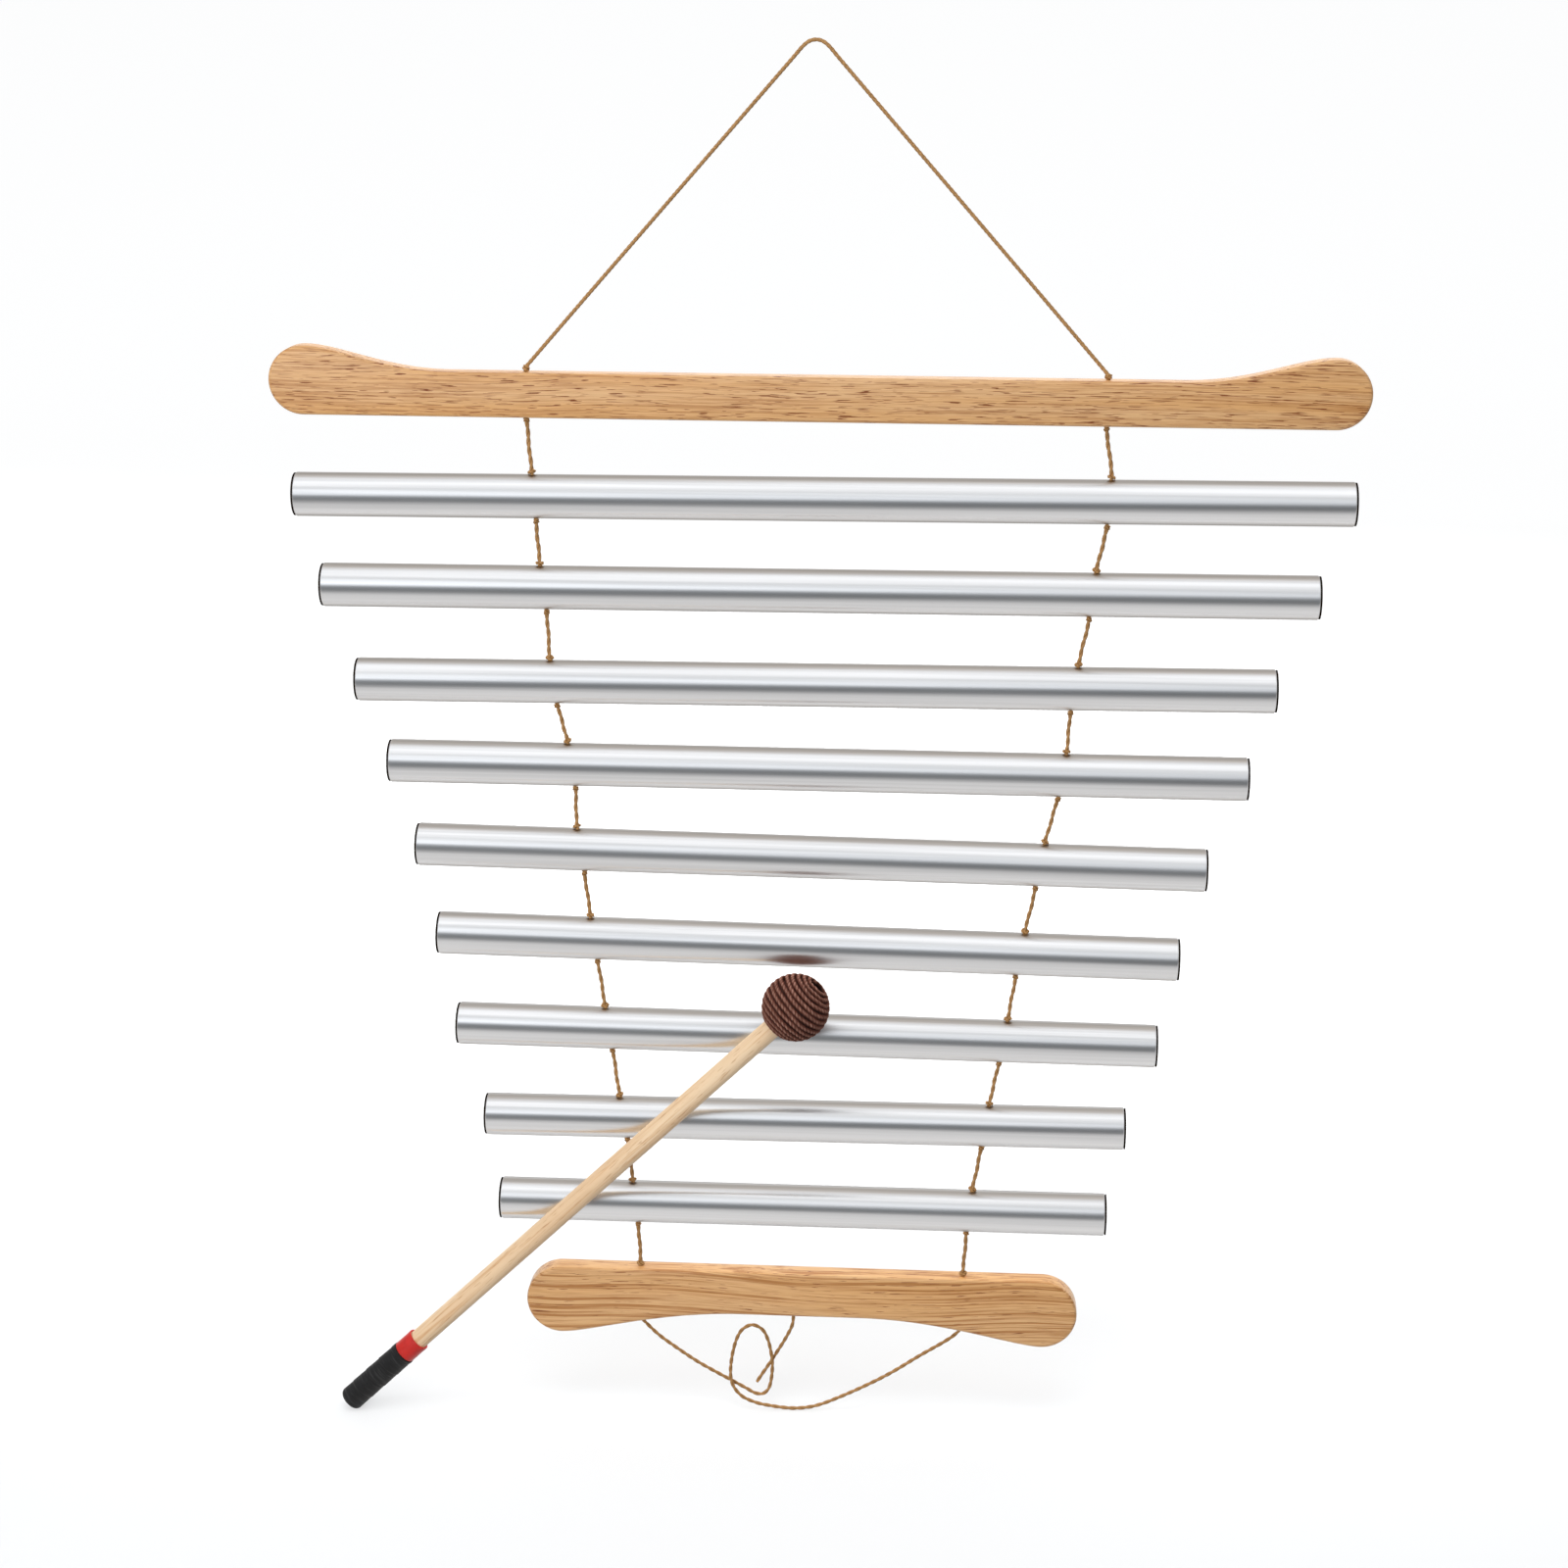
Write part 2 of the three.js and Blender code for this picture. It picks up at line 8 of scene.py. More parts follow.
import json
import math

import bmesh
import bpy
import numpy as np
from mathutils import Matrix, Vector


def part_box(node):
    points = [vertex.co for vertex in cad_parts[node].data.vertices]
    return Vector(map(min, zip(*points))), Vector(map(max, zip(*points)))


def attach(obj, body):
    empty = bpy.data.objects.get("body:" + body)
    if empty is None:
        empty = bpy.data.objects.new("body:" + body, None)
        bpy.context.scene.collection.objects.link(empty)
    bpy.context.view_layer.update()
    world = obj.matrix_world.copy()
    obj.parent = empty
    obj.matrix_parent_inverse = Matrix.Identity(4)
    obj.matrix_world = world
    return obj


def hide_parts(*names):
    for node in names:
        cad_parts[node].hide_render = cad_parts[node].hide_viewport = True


bl_info = {
    "name": "Hanging Bar Chime",
    "version": (1, 0, 0),
    "blender": (4, 5, 0),
    "location": "View3D > Sidebar > Chime",
    "description": "Builds a chime of metal tubes, wooden bars and twisted cord, and its mallet",
    "category": "Object",
}

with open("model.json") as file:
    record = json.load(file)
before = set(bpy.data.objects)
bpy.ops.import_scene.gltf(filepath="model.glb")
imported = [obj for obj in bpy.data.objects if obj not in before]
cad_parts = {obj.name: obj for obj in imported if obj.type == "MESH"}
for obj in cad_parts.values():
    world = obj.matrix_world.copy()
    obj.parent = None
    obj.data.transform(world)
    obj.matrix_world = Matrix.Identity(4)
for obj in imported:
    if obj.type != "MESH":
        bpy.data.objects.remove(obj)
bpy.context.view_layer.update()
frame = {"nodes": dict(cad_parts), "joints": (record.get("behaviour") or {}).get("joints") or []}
MM = 0.001
UP = np.array([0.0, 0.0, 1.0])
ACROSS = np.array([1.0, 0.0, 0.0])
BACK = np.array([0.0, 1.0, 0.0])
TUBES = range(1, 10)
SIDES = {"left": -1, "right": 1}

# Sizes that the solids hold but the frame doesn't list. A bar has the place of its cord holes, the
# height of its waist, and the length and the two eases of the blend between a lobe and the waist
CLEARANCE = 0.3 * MM
HOLE_SHARES = [0.228, 0.2235, 0.2155, 0.213, 0.2075, 0.2105, 0.216, 0.215, 0.222]
TOP_BAR = {"hole": 130 * MM, "waist": 20.2 * MM, "blend": 66 * MM, "ease": (16 * MM, 30 * MM)}
BOTTOM_BAR = {"hole": 78 * MM, "waist": 22 * MM, "blend": 87 * MM, "ease": (13 * MM, 40 * MM)}
TAIL_HOLE_PLACE = -3.5 * MM
TAIL_HOLE_DEPTH = 12 * MM
STICK_RADIUS = 4.75 * MM
SLEEVE_BORE = STICK_RADIUS + CLEARANCE
BAND_RADIUS = 5.8 * MM
GRIP_RADIUS = 6.0 * MM
GRIP_ROUNDING = 2.0 * MM
GRIP_END = 1.5 * MM
CORE_RADIUS = 13.5 * MM
HEAD_RADIUS = 16 * MM
YARN_START_RADIUS = 6.45 * MM
YARN_END_RADIUS = 2.85 * MM
FLOOR_LEVEL = -651 * MM

# Radius that closes the end of a turned profile
TIP = 0.001 * MM

# The photograph's camera, found by fitting the nine tubes and the two bars
CAMERA_PLACE = Vector((0.0708, -1.3482, 0.0349))
CAMERA_YAW = math.radians(3.51)
CAMERA_PITCH = math.radians(15.26)
CAMERA_ROLL = math.radians(0.37)
CAMERA_LENS = 69.52

# Routes of the free cords, in millimetres: the hanger from knot to knot (x, z), the cord under the
# lower bar from hole to hole, and the loose tail (x, y, z)
HANGER_RISE = [
    [-105, -115.1], [-75, -80.9], [-45, -46.7], [-20, -18.2], [-10, -6.8], [-5.3, -1.5],
    [-2.8, 0.3], [0, 0.9], [2.8, 0.3], [5.3, -1.5], [10, -6.8], [20, -18], [45, -46], [75, -79.6],
    [105, -113.3],
]
LOOP_ROUTE = [
    [-77.4, 0, -607.4], [-71, 0.2, -613.8], [-64, 0.4, -619.2], [-53, 0.7, -627], [-44, 1, -632.4],
    [-34.5, 1.4, -637.8], [-28.5, 1.5, -641.2], [-24, 1.4, -643.6], [-20.4, 1.2, -643.6],
    [-17.8, 1, -641], [-16.4, 0.8, -636], [-15.9, 0.6, -626], [-18.2, 0.3, -613.8],
    [-21, 0.1, -608.7], [-25.6, 0, -606.6], [-30.2, -0.2, -608.8], [-33.2, -0.5, -614],
    [-36, -1, -628], [-35.4, -1.4, -637], [-31.2, -1.5, -643.4], [-24, -1.2, -647.2],
    [-15.8, -0.9, -649], [-4.7, -0.5, -650], [5, -0.2, -648.6], [17.3, 0, -643.4],
    [39.2, 0, -631.4], [57, 0, -619.2], [69, 0, -611.2], [73, 0, -607.9],
]
TAIL_ROUTE = [
    [-5.6, 0, -601], [-6.2, 0.4, -606], [-8.6, 1.4, -612], [-11.6, 2.4, -618], [-14.9, 3.1, -624],
    [-18.2, 3.1, -629.6], [-21, 2.9, -634], [-23.4, 2.6, -638],
]


# Sizes and colours that a user may change

def length(name, description, default):
    """A length in metres for the sidebar."""
    return bpy.props.FloatProperty(
        name=name, description=description, default=default, min=0.0, precision=5, unit="LENGTH")


def colour(name, description, code):
    """A colour for the sidebar, from its usual six-digit code."""
    parts = np.array([int(code[i:i + 2], 16) for i in (0, 2, 4)]) / 255
    linear = np.where(parts <= 0.04045, parts / 12.92, ((parts + 0.055) / 1.055) ** 2.4)
    return bpy.props.FloatVectorProperty(
        name=name, description=description, default=linear.tolist(), size=3, min=0.0, max=1.0,
        subtype="COLOR")


class ChimeSizes(bpy.types.PropertyGroup):
    """Sizes of the details that the solids leave plain."""

    cord_diameter: length("Cord", "Thickness of the twisted cord", 1.8 * MM)
    cord_pitch: length("Cord twist", "Length of one full turn of the cord's two strands", 8.5 * MM)
    knot_diameter: length("Knot", "Width of a knot above or below a tube", 3.6 * MM)
    knot_sink: length("Knot sink", "How far a drawn knot settles towards its hole", 0.55 * MM)
    hole_diameter: length("Cord hole", "Width of the holes that the cords pass through", 2.6 * MM)
    tube_wall: length("Tube wall", "Thickness of a tube's wall", 1.5 * MM)
    tube_rounding: length("Tube edge", "Rounding of a tube's cut edges", 0.6 * MM)
    bar_rounding: length("Bar edge", "Rounding of the wooden bars' edges", 1.7 * MM)
    yarn_diameter: length("Yarn", "Thickness of the mallet's yarn", 2.45 * MM)
    tape_width: length("Tape wrap", "Distance between the wraps of the black tape", 9.0 * MM)
    tape_thickness: length("Tape", "Thickness of the black tape", 0.22 * MM)


class ChimeColours(bpy.types.PropertyGroup):
    """Colours of the chime's materials."""

    aluminium: colour("Aluminium", "Reflection colour of the tubes", "D5D6D8")
    aluminium_edge: colour("Aluminium edge", "Reflection at a glancing angle", "C9C7C4")
    cap: colour("End cap", "Dark plugs in the tubes' ends", "1C1511")
    oak: colour("Oak", "Main colour of the wooden bars", "CBA375")
    oak_warm: colour("Oak, warm", "Warmer zones of the wooden bars", "C89962")
    oak_streak: colour("Oak streaks", "Dark growth lines of the wooden bars", "935C25")
    oak_pore: colour("Oak pores", "Short dark pores of the wooden bars", "6E3206")
    cord: colour("Cord", "Raised fibres of the cord", "9E7749")
    # Painted shade: this dark colour fills the groove between the strands, and marks darker fibres.
    cord_groove: colour("Cord groove", "Groove between the cord's strands", "69451F")
    birch: colour("Birch", "Main colour of the mallet's stick", "D6BD9C")
    birch_streak: colour("Birch streaks", "Grain lines of the mallet's stick", "B98D60")
    yarn: colour("Yarn", "Main colour of the mallet's yarn", "573126")
    # Painted highlight: these light fibres are drawn only on the yarn's outermost crowns.
    yarn_painted_highlight: colour("Yarn, light", "Light fibres of the mallet's yarn", "AC8070")
    # Painted shade: this dark colour fills the grooves between the rows; it also darkens random
    # patches and the core.
    yarn_dark_and_groove_shade: colour("Yarn groove", "Groove between the rows of yarn", "2B1410")
    red_band: colour("Red band", "Band above the grip", "B21A12")
    black_tape: colour("Black tape", "Tape on the grip", "0D0D0E")
    floor: colour("Floor", "Floor of the studio", "C2C3C4")


def sizes():
    return bpy.context.scene.chime_sizes


def colours():
    return bpy.context.scene.chime_colours


# Where things are, read from the frame

def unit(vectors):
    """Each vector divided by its length."""
    return vectors / np.linalg.norm(vectors, axis=-1, keepdims=True)


def box(node):
    """Lowest and highest corner of a solid, as arrays."""
    low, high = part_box(node)
    return np.array(low), np.array(high)


def corners_of(node):
    """Every corner of a solid."""
    mesh = frame["nodes"][node].data
    points = np.empty(len(mesh.vertices) * 3)
    mesh.vertices.foreach_get("co", points)
    return points.reshape(-1, 3)


def span(node, way):
    """How far a solid reaches along a direction, as its lowest and highest projection."""
    along = corners_of(node) @ way
    return along.min(), along.max()


JOINTS = {joint["name"]: joint for joint in frame["joints"]}
SWINGS = ["upper_bar_swing"] + [f"tube_{k}_swing" for k in TUBES] + ["lower_bar_swing"]


def level(number):
    """Middle, direction along and direction up of a level: 0 is the upper bar, 10 the lower bar.

    Each joint lies along the knots under the piece above it, so a joint gives the direction of
    that piece, and its place less the drop from the piece's middle to its knots is the middle.
    """
    if number in (0, 10):
        low, high = box("top_bar" if number == 0 else "bottom_bar")
        middle = (low + high) / 2
        middle[2] = low[2] if number == 0 else high[2]
        return middle, ACROSS, UP
    joint = JOINTS[SWINGS[number + 1]]
    along = np.array(joint["axis"])
    up = np.cross(along, BACK)
    drop = tube_radius() + knot_standoff()
    return np.array(joint["pos_m"]) + drop * up, along, up


def tube_radius():
    low, high = box("tube_1")
    return (high[1] - low[1]) / 2


def knot_standoff():
    """Height of a knot's centre over the mouth of its hole."""
    return CLEARANCE + sizes().knot_diameter / 2


def hole_place(number):
    """Distance of a level's cord holes from its middle."""
    if number == 0:
        return TOP_BAR["hole"]
    if number == 10:
        return BOTTOM_BAR["hole"]
    low, high = span(f"tube_{number}", level(number)[1])
    return (high - low) * (0.5 - HOLE_SHARES[number - 1])


def hole_slant(number):
    """Slope of a tube's cord holes: that of the line from the holes above to the holes below."""
    if number in (0, 10):
        return 0.0
    above, below = level(number - 1)[0], level(number + 1)[0]
    return (hole_place(number - 1) - hole_place(number + 1)) / (above[2] - below[2])


def on_hole(number, side, height):
    """The point of a hole's axis at a height over the level's middle."""
    middle, along, up = level(number)
    across = side * (hole_place(number) + hole_slant(number) * height)
    return middle + across * along + height * up


def cord_holes(number, low, high):
    """Rods through a level's two cord holes, from one height to another."""
    return [(on_hole(number, side, low), on_hole(number, side, high)) for side in (-1, 1)]


def under_knot(number, side):
    """Centre of the knot under a level, where the next level swings."""
    return on_hole(number, side, -(tube_radius() if number else 0.0) - knot_standoff())


def top_knot(number, side):
    """Centre of the knot on top of a level."""
    above = {0: TOP_BAR["waist"], 10: 0.0}.get(number, tube_radius())
    return on_hole(number, side, above + knot_standoff())


# Surfaces: dictionaries of points, faces and laid coordinates

def grid_faces(rows, columns, closed_rows=False):
    """Faces of a grid whose columns join round: each has the corners (i, j) to (i + 1, j + 1)."""
    i = np.arange(rows if closed_rows else rows - 1)[:, None]
    j = np.arange(columns)[None, :]
    next_i, next_j = (i + 1) % rows, (j + 1) % columns
    here, beyond = i * columns, next_i * columns
    corners = [here + j, here + next_j, beyond + next_j, beyond + j]
    return np.stack(np.broadcast_arrays(*corners), -1).reshape(-1, 4)


def around(angle, first, second):
    """Directions cos a first + sin a second."""
    return np.cos(angle)[:, None] * first + np.sin(angle)[:, None] * second


def sweep(centres, first, second, radii, sides, along, ring=False):
    """Circles of the given radii about a line of centres, in the planes of first and second.

    A point is centre + radius (cos a first + sin a second). A ring's rows join up, and any other
    sweep is closed by a point at each end. Laid coordinates are (along, radius cos, radius sin).
    """
    rows = len(centres)
    angle = 2 * np.pi * np.arange(sides) / sides
    radii = np.broadcast_to(np.asarray(radii, float).reshape(rows, -1) if np.ndim(radii) else radii,
                            (rows, sides))
    cos, sin = radii * np.cos(angle), radii * np.sin(angle)
    points = centres[:, None] + cos[..., None] * first[:, None] + sin[..., None] * second[:, None]
    own = np.stack([np.broadcast_to(along[:, None], (rows, sides)), cos, sin], -1)
    points, own = points.reshape(-1, 3), own.reshape(-1, 3)
    faces = [grid_faces(rows, sides, ring)]
    if not ring:
        column = np.arange(sides)
        after = (column + 1) % sides
        last = (rows - 1) * sides
        poles = rows * sides
        points = np.concatenate([points, centres[[0, -1]]])
        own = np.concatenate([own, [[along[0], 0, 0], [along[-1], 0, 0]]])
        faces.append(np.stack([np.full(sides, poles), after, column], -1))
        faces.append(np.stack([np.full(sides, poles + 1), last + column, last + after], -1))
    return {"points": points, "faces": faces, "laid": own, "tone": np.ones(len(points))}


def turned(profile, origin, axis, sides, ring=False, swell=None):
    """A profile of (height, radius) pairs turned about an axis; swell adds to the radius."""
    profile = np.asarray(profile, float)
    hint = BACK if abs(axis @ BACK) < 0.9 else ACROSS
    first = unit(hint - (hint @ axis) * axis)
    second = np.cross(axis, first)
    rows = len(profile)
    radii = np.repeat(profile[:, 1:2], sides, axis=1)
    if swell is not None:
        radii = radii + swell
    first, second = (np.tile(way, (rows, 1)) for way in (first, second))
    return sweep(origin + profile[:, :1] * axis, first, second, radii, sides, profile[:, 0], ring)


def rounded(corners, radius, steps=5, closed=False):
    """A profile with its corners rounded: each is cut back by the radius, but by no more than
    0.45 of its shorter side, and bridged by the curve (1-t)^2 a + 2t(1-t) b + t^2 c."""
    corners = np.asarray(corners, float)
    before, after = np.roll(corners, 1, axis=0), np.roll(corners, -1, axis=0)
    to_before, to_after = before - corners, after - corners
    room = np.minimum(np.linalg.norm(to_before, axis=1), np.linalg.norm(to_after, axis=1)) * 0.45
    cut = np.minimum(radius, room)[:, None]
    start = corners + unit(to_before) * cut
    end = corners + unit(to_after) * cut
    t = np.linspace(0, 1, steps + 1)[None, :, None]
    a, b, c = (x[:, None] for x in (start, corners, end))
    curve = (1 - t) ** 2 * a + 2 * t * (1 - t) * b + t ** 2 * c
    if closed:
        return curve.reshape(-1, 2)
    return np.concatenate([corners[:1], curve[1:-1].reshape(-1, 2), corners[-1:]])


def join(surfaces):
    """Several surfaces as one, their corner numbers moved on."""
    starts = np.cumsum([0] + [len(s["points"]) for s in surfaces[:-1]])
    return {
        "points": np.concatenate([s["points"] for s in surfaces]),
        "faces": [f + start for s, start in zip(surfaces, starts) for f in s["faces"]],
        "laid": np.concatenate([s["laid"] for s in surfaces]),
        "tone": np.concatenate([s["tone"] for s in surfaces]),
    }


def mesh_of(name, surface):
    """A mesh with the surface's points, faces and attributes, its faces pointing outwards."""
    corners = np.concatenate([f.ravel() for f in surface["faces"]])
    counts = np.concatenate([np.full(len(f), f.shape[1]) for f in surface["faces"]])
    starts = np.concatenate([[0], np.cumsum(counts)[:-1]])
    mesh = bpy.data.meshes.new(name)
    mesh.vertices.add(len(surface["points"]))
    mesh.vertices.foreach_set("co", surface["points"].astype(np.float32).ravel())
    mesh.loops.add(len(corners))
    mesh.loops.foreach_set("vertex_index", corners.astype(np.int32))
    mesh.polygons.add(len(counts))
    mesh.polygons.foreach_set("loop_start", starts.astype(np.int32))
    mesh.polygons.foreach_set("use_smooth", counts <= 4)
    mesh.update(calc_edges=True)
    for kept, kind, part in (("laid", "FLOAT_VECTOR", "vector"), ("tone", "FLOAT", "value")):
        values = surface[kept].astype(np.float32).ravel()
        mesh.attributes.new(kept, kind, "POINT").data.foreach_set(part, values)
    shell = bmesh.new()
    shell.from_mesh(mesh)
    bmesh.ops.recalc_face_normals(shell, faces=shell.faces)
    shell.to_mesh(mesh)
    shell.free()
    return mesh


def add(name, data):
    """A new object in the scene."""
    made = bpy.data.objects.new(name, data)
    bpy.context.scene.collection.objects.link(made)
    return made


def place(name, surface, finish, body, slot, *nodes):
    """A finished piece that rides on a body and stands for its solids; its slot is not used."""
    piece = add(name, mesh_of(name, surface))
    piece.data.materials.append(finish_named(finish))
    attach(piece, body)
    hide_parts(*nodes)
    return piece


# A drilled piece's edges stay sharp where its faces meet at more than this
SHARP_ANGLE = math.radians(35)


def drill(piece, rods):
    """Cuts round holes through a piece, which then shows in no mirror; each rod is (from, to) and
    as wide as a cord hole."""
    radius = sizes().hole_diameter / 2
    cutters = []
    for start, end in rods:
        profile = [[0, radius], [np.linalg.norm(end - start), radius]]
        surface = turned(profile, start, unit(end - start), 28)
        cutters.append(add("cutter", mesh_of("cutter", surface)))
        cut = piece.modifiers.new("hole", "BOOLEAN")
        cut.operation, cut.solver, cut.object = "DIFFERENCE", "EXACT", cutters[-1]
    bpy.context.view_layer.update()
    seen = piece.evaluated_get(bpy.context.evaluated_depsgraph_get())
    drilled = bpy.data.meshes.new_from_object(seen)
    piece.modifiers.clear()
    piece.data = drilled
    for cutter in cutters:
        bpy.data.objects.remove(cutter)
    drilled.set_sharp_from_angle(angle=SHARP_ANGLE)
    piece.visible_glossy = False


# Materials

class Nodes:
    """A node tree written as calls: each adds a node and gives back its output."""

    def __init__(self, tree):
        self.tree = tree

    def set(self, node, socket, value):
        """A link where the value is another node's output, and otherwise a plain value."""
        target = node.inputs[socket]
        if isinstance(value, bpy.types.NodeSocket):
            self.tree.links.new(value, target)
        elif target.type == "RGBA" and len(value) == 3:
            target.default_value = (*value, 1.0)
        else:
            target.default_value = value

    def node(self, kind, out=0, settings=(), **sockets):
        """A new node; a socket is given by its name, or by its number as i0, i1 and so on."""
        made = self.tree.nodes.new(f"ShaderNode{kind}")
        for name, value in dict(settings).items():
            setattr(made, name, value)
        for socket, value in sockets.items():
            self.set(made, int(socket[1:]) if socket[0] == "i" and socket[1:].isdigit()
                     else socket.replace("_", " "), value)
        return made.outputs[out]

    def attribute(self, name, out):
        return self.node("Attribute", out=out, settings={"attribute_name": name})

    def laid(self):
        """The coordinates that follow a piece where it bends."""
        return self.attribute("laid", 1)

    def tone(self):
        return self.attribute("tone", 2)

    def here(self):
        """The piece's own straight coordinates."""
        return self.node("TexCoord", out=3)

    def noise(self, where, scale, detail=2.0, location=(0, 0, 0), distortion=0.0, roughness=0.5):
        """Noise whose features are about 1 / scale metres long each way."""
        spot = self.node("Mapping", Vector=where, Scale=scale, Location=location)
        return self.node("TexNoise", Vector=spot, Scale=1.0, Detail=detail, Roughness=roughness,
                         Distortion=distortion)

    def between(self, value, low, high, to_low=0.0, to_high=1.0):
        return self.node("MapRange", settings={"interpolation_type": "SMOOTHSTEP"}, Value=value,
                         From_Min=low, From_Max=high, To_Min=to_low, To_Max=to_high)

    def maths(self, operation, a, b=0.0):
        return self.node("Math", settings={"operation": operation}, i0=a, i1=b)

    def mix(self, share, a, b):
        """Two colours mixed by a share."""
        return self.node("Mix", out=2, settings={"data_type": "RGBA"}, i0=share, i6=a, i7=b)

    def over(self, tint, shade, field, low, high, most=1.0):
        """A shade laid over a tint, up to a share, where a field goes from low to high."""
        return self.mix(self.between(field, low, high, 0.0, most), tint, shade)

    def bump(self, height, strength, distance, normal=None):
        made = {"Height": height, "Strength": strength, "Distance": distance}
        if normal is not None:
            made["Normal"] = normal
        return self.node("Bump", **made)


class Finish(Nodes):
    """A material on the principled shader, whose sockets are given by name."""

    def __init__(self, name, **sockets):
        self.material = bpy.data.materials.new(name)
        self.material.use_nodes = True
        super().__init__(self.material.node_tree)
        self.shader = self.tree.nodes["Principled BSDF"]
        self.finish(**sockets)

    def finish(self, **sockets):
        for socket, value in sockets.items():
            self.set(self.shader, socket.replace("_", " "), value)
        return self.material


def rgb(name, times=1.0):
    """A colour of the sidebar, made lighter or darker."""
    return tuple(times * part for part in getattr(colours(), name))


def aluminium_finish():
    """Drawn tube: fine lines along X vary how blurred and how bright the reflection is."""
    finish = Finish("aluminium", Metallic=1.0, Specular_Tint=rgb("aluminium_edge"))
    here = finish.here()
    lines = finish.noise(here, (3, 700, 700), detail=3.0)
    clouds = finish.noise(here, (11, 40, 40))
    rough = finish.maths("ADD", finish.between(lines, 0.3, 0.7, 0.3, 0.36),
                         finish.between(clouds, 0.3, 0.7, -0.015, 0.015))
    tint = finish.over(rgb("aluminium"), rgb("aluminium", 0.9), lines, 0.35, 0.7)
    return finish.finish(Base_Color=tint, Roughness=rough, Anisotropic=0.75,
                         Tangent=finish.node("CombineXYZ", X=1.0))


def cap_finish():
    finish = Finish("dark_cap", Roughness=0.8, Specular_IOR_Level=0.0)
    grain = finish.noise(finish.here(), (900, 900, 900), detail=3.0)
    tint = finish.over(rgb("cap"), rgb("cap", 1.5), grain, 0.3, 0.7)
    return finish.finish(Base_Color=tint, Normal=finish.bump(grain, 0.15, 0.0001))


def oak_finish(name, streaks, pores, wave, warmth, reach, offset):
    """Oak along X: warm zones, growth lines bent by a slow wave, and short pores between them."""
    finish = Finish(name, Specular_IOR_Level=0.3, Coat_Weight=0.35, Coat_Roughness=0.25)
    here = finish.here()
    bend = finish.noise(here, (8, 5, 5), detail=1.0, location=offset)
    shift = finish.node("CombineXYZ", Z=finish.between(bend, 0.2, 0.8, -wave, wave))
    grain = finish.node("VectorMath", settings={"operation": "ADD"}, i0=here, i1=shift)
    zones = finish.noise(grain, (5, 60, 110), detail=3.0, location=offset)
    lines = finish.noise(grain, (reach, 460, 860), detail=5.0, location=offset, roughness=0.65)
    fine = finish.noise(grain, (60, 900, 1600), location=offset)
    dashes = finish.noise(grain, (100, 1100, 2100), detail=1.0, location=offset, distortion=0.3)
    crowd = finish.noise(here, (25, 80, 120), detail=1.0, location=offset)
    pore = finish.between(dashes, 0.61 - pores, 0.655 - pores)
    pore = finish.maths("MULTIPLY", pore, finish.between(crowd, 0.3, 0.5, 0.4, 1.0))
    streak = finish.maths("MULTIPLY", finish.between(lines, 0.48, 0.61), streaks)
    tint = finish.mix(finish.between(zones, 0.3, 0.7, warmth, 1.0), rgb("oak"), rgb("oak_warm"))
    tint = finish.over(tint, rgb("oak_streak"), fine, 0.35, 0.75, 0.35)
    tint = finish.mix(streak, tint, rgb("oak_streak"))
    tint = finish.mix(finish.maths("MULTIPLY", pore, 0.95), tint, rgb("oak_pore"))
    height = finish.maths("SUBTRACT", finish.maths("MULTIPLY", fine, 0.3), pore)
    rough = finish.between(lines, 0.3, 0.8, 0.3, 0.42)
    return finish.finish(Base_Color=tint, Roughness=rough, Normal=finish.bump(height, 0.35, 0.0002))


def cord_finish():
    """Twisted cord: a mask is 1 on the strands' crowns and 0 in the groove, painted dark as shade.
    """
    finish = Finish("twisted_cord", Roughness=0.78, Specular_IOR_Level=0.3)
    laid = finish.laid()
    fibres = finish.noise(laid, (500, 4200, 4200))
    patches = finish.noise(laid, (160, 300, 300))
    # Painted shade: the groove between the strands is darkened where the mask falls.
    tint = finish.over(rgb("cord_groove"), rgb("cord"), finish.tone(), 0.3, 0.85)
    tint = finish.over(tint, rgb("cord_groove"), fibres, 0.45, 0.8, 0.4)
    tint = finish.over(tint, rgb("cord", 1.3), patches, 0.5, 0.75, 0.5)
    return finish.finish(Base_Color=tint, Normal=finish.bump(fibres, 0.5, 0.0001))


def birch_finish():
    """Pale dowel: fine lines along its length."""
    finish = Finish("pale_dowel", Roughness=0.5)
    laid = finish.laid()
    lines = finish.noise(laid, (16, 600, 600), detail=4.0, roughness=0.65)
    zones = finish.noise(laid, (9, 90, 90))
    flecks = finish.noise(laid, (120, 1500, 1500), detail=1.0)
    tint = finish.over(rgb("birch"), rgb("birch_streak"), zones, 0.35, 0.7, 0.35)
    tint = finish.over(tint, rgb("birch_streak"), lines, 0.48, 0.68, 0.75)
    tint = finish.over(tint, rgb("oak_streak"), flecks, 0.62, 0.72, 0.5)
    return finish.finish(Base_Color=tint, Normal=finish.bump(lines, 0.12, 0.0001))


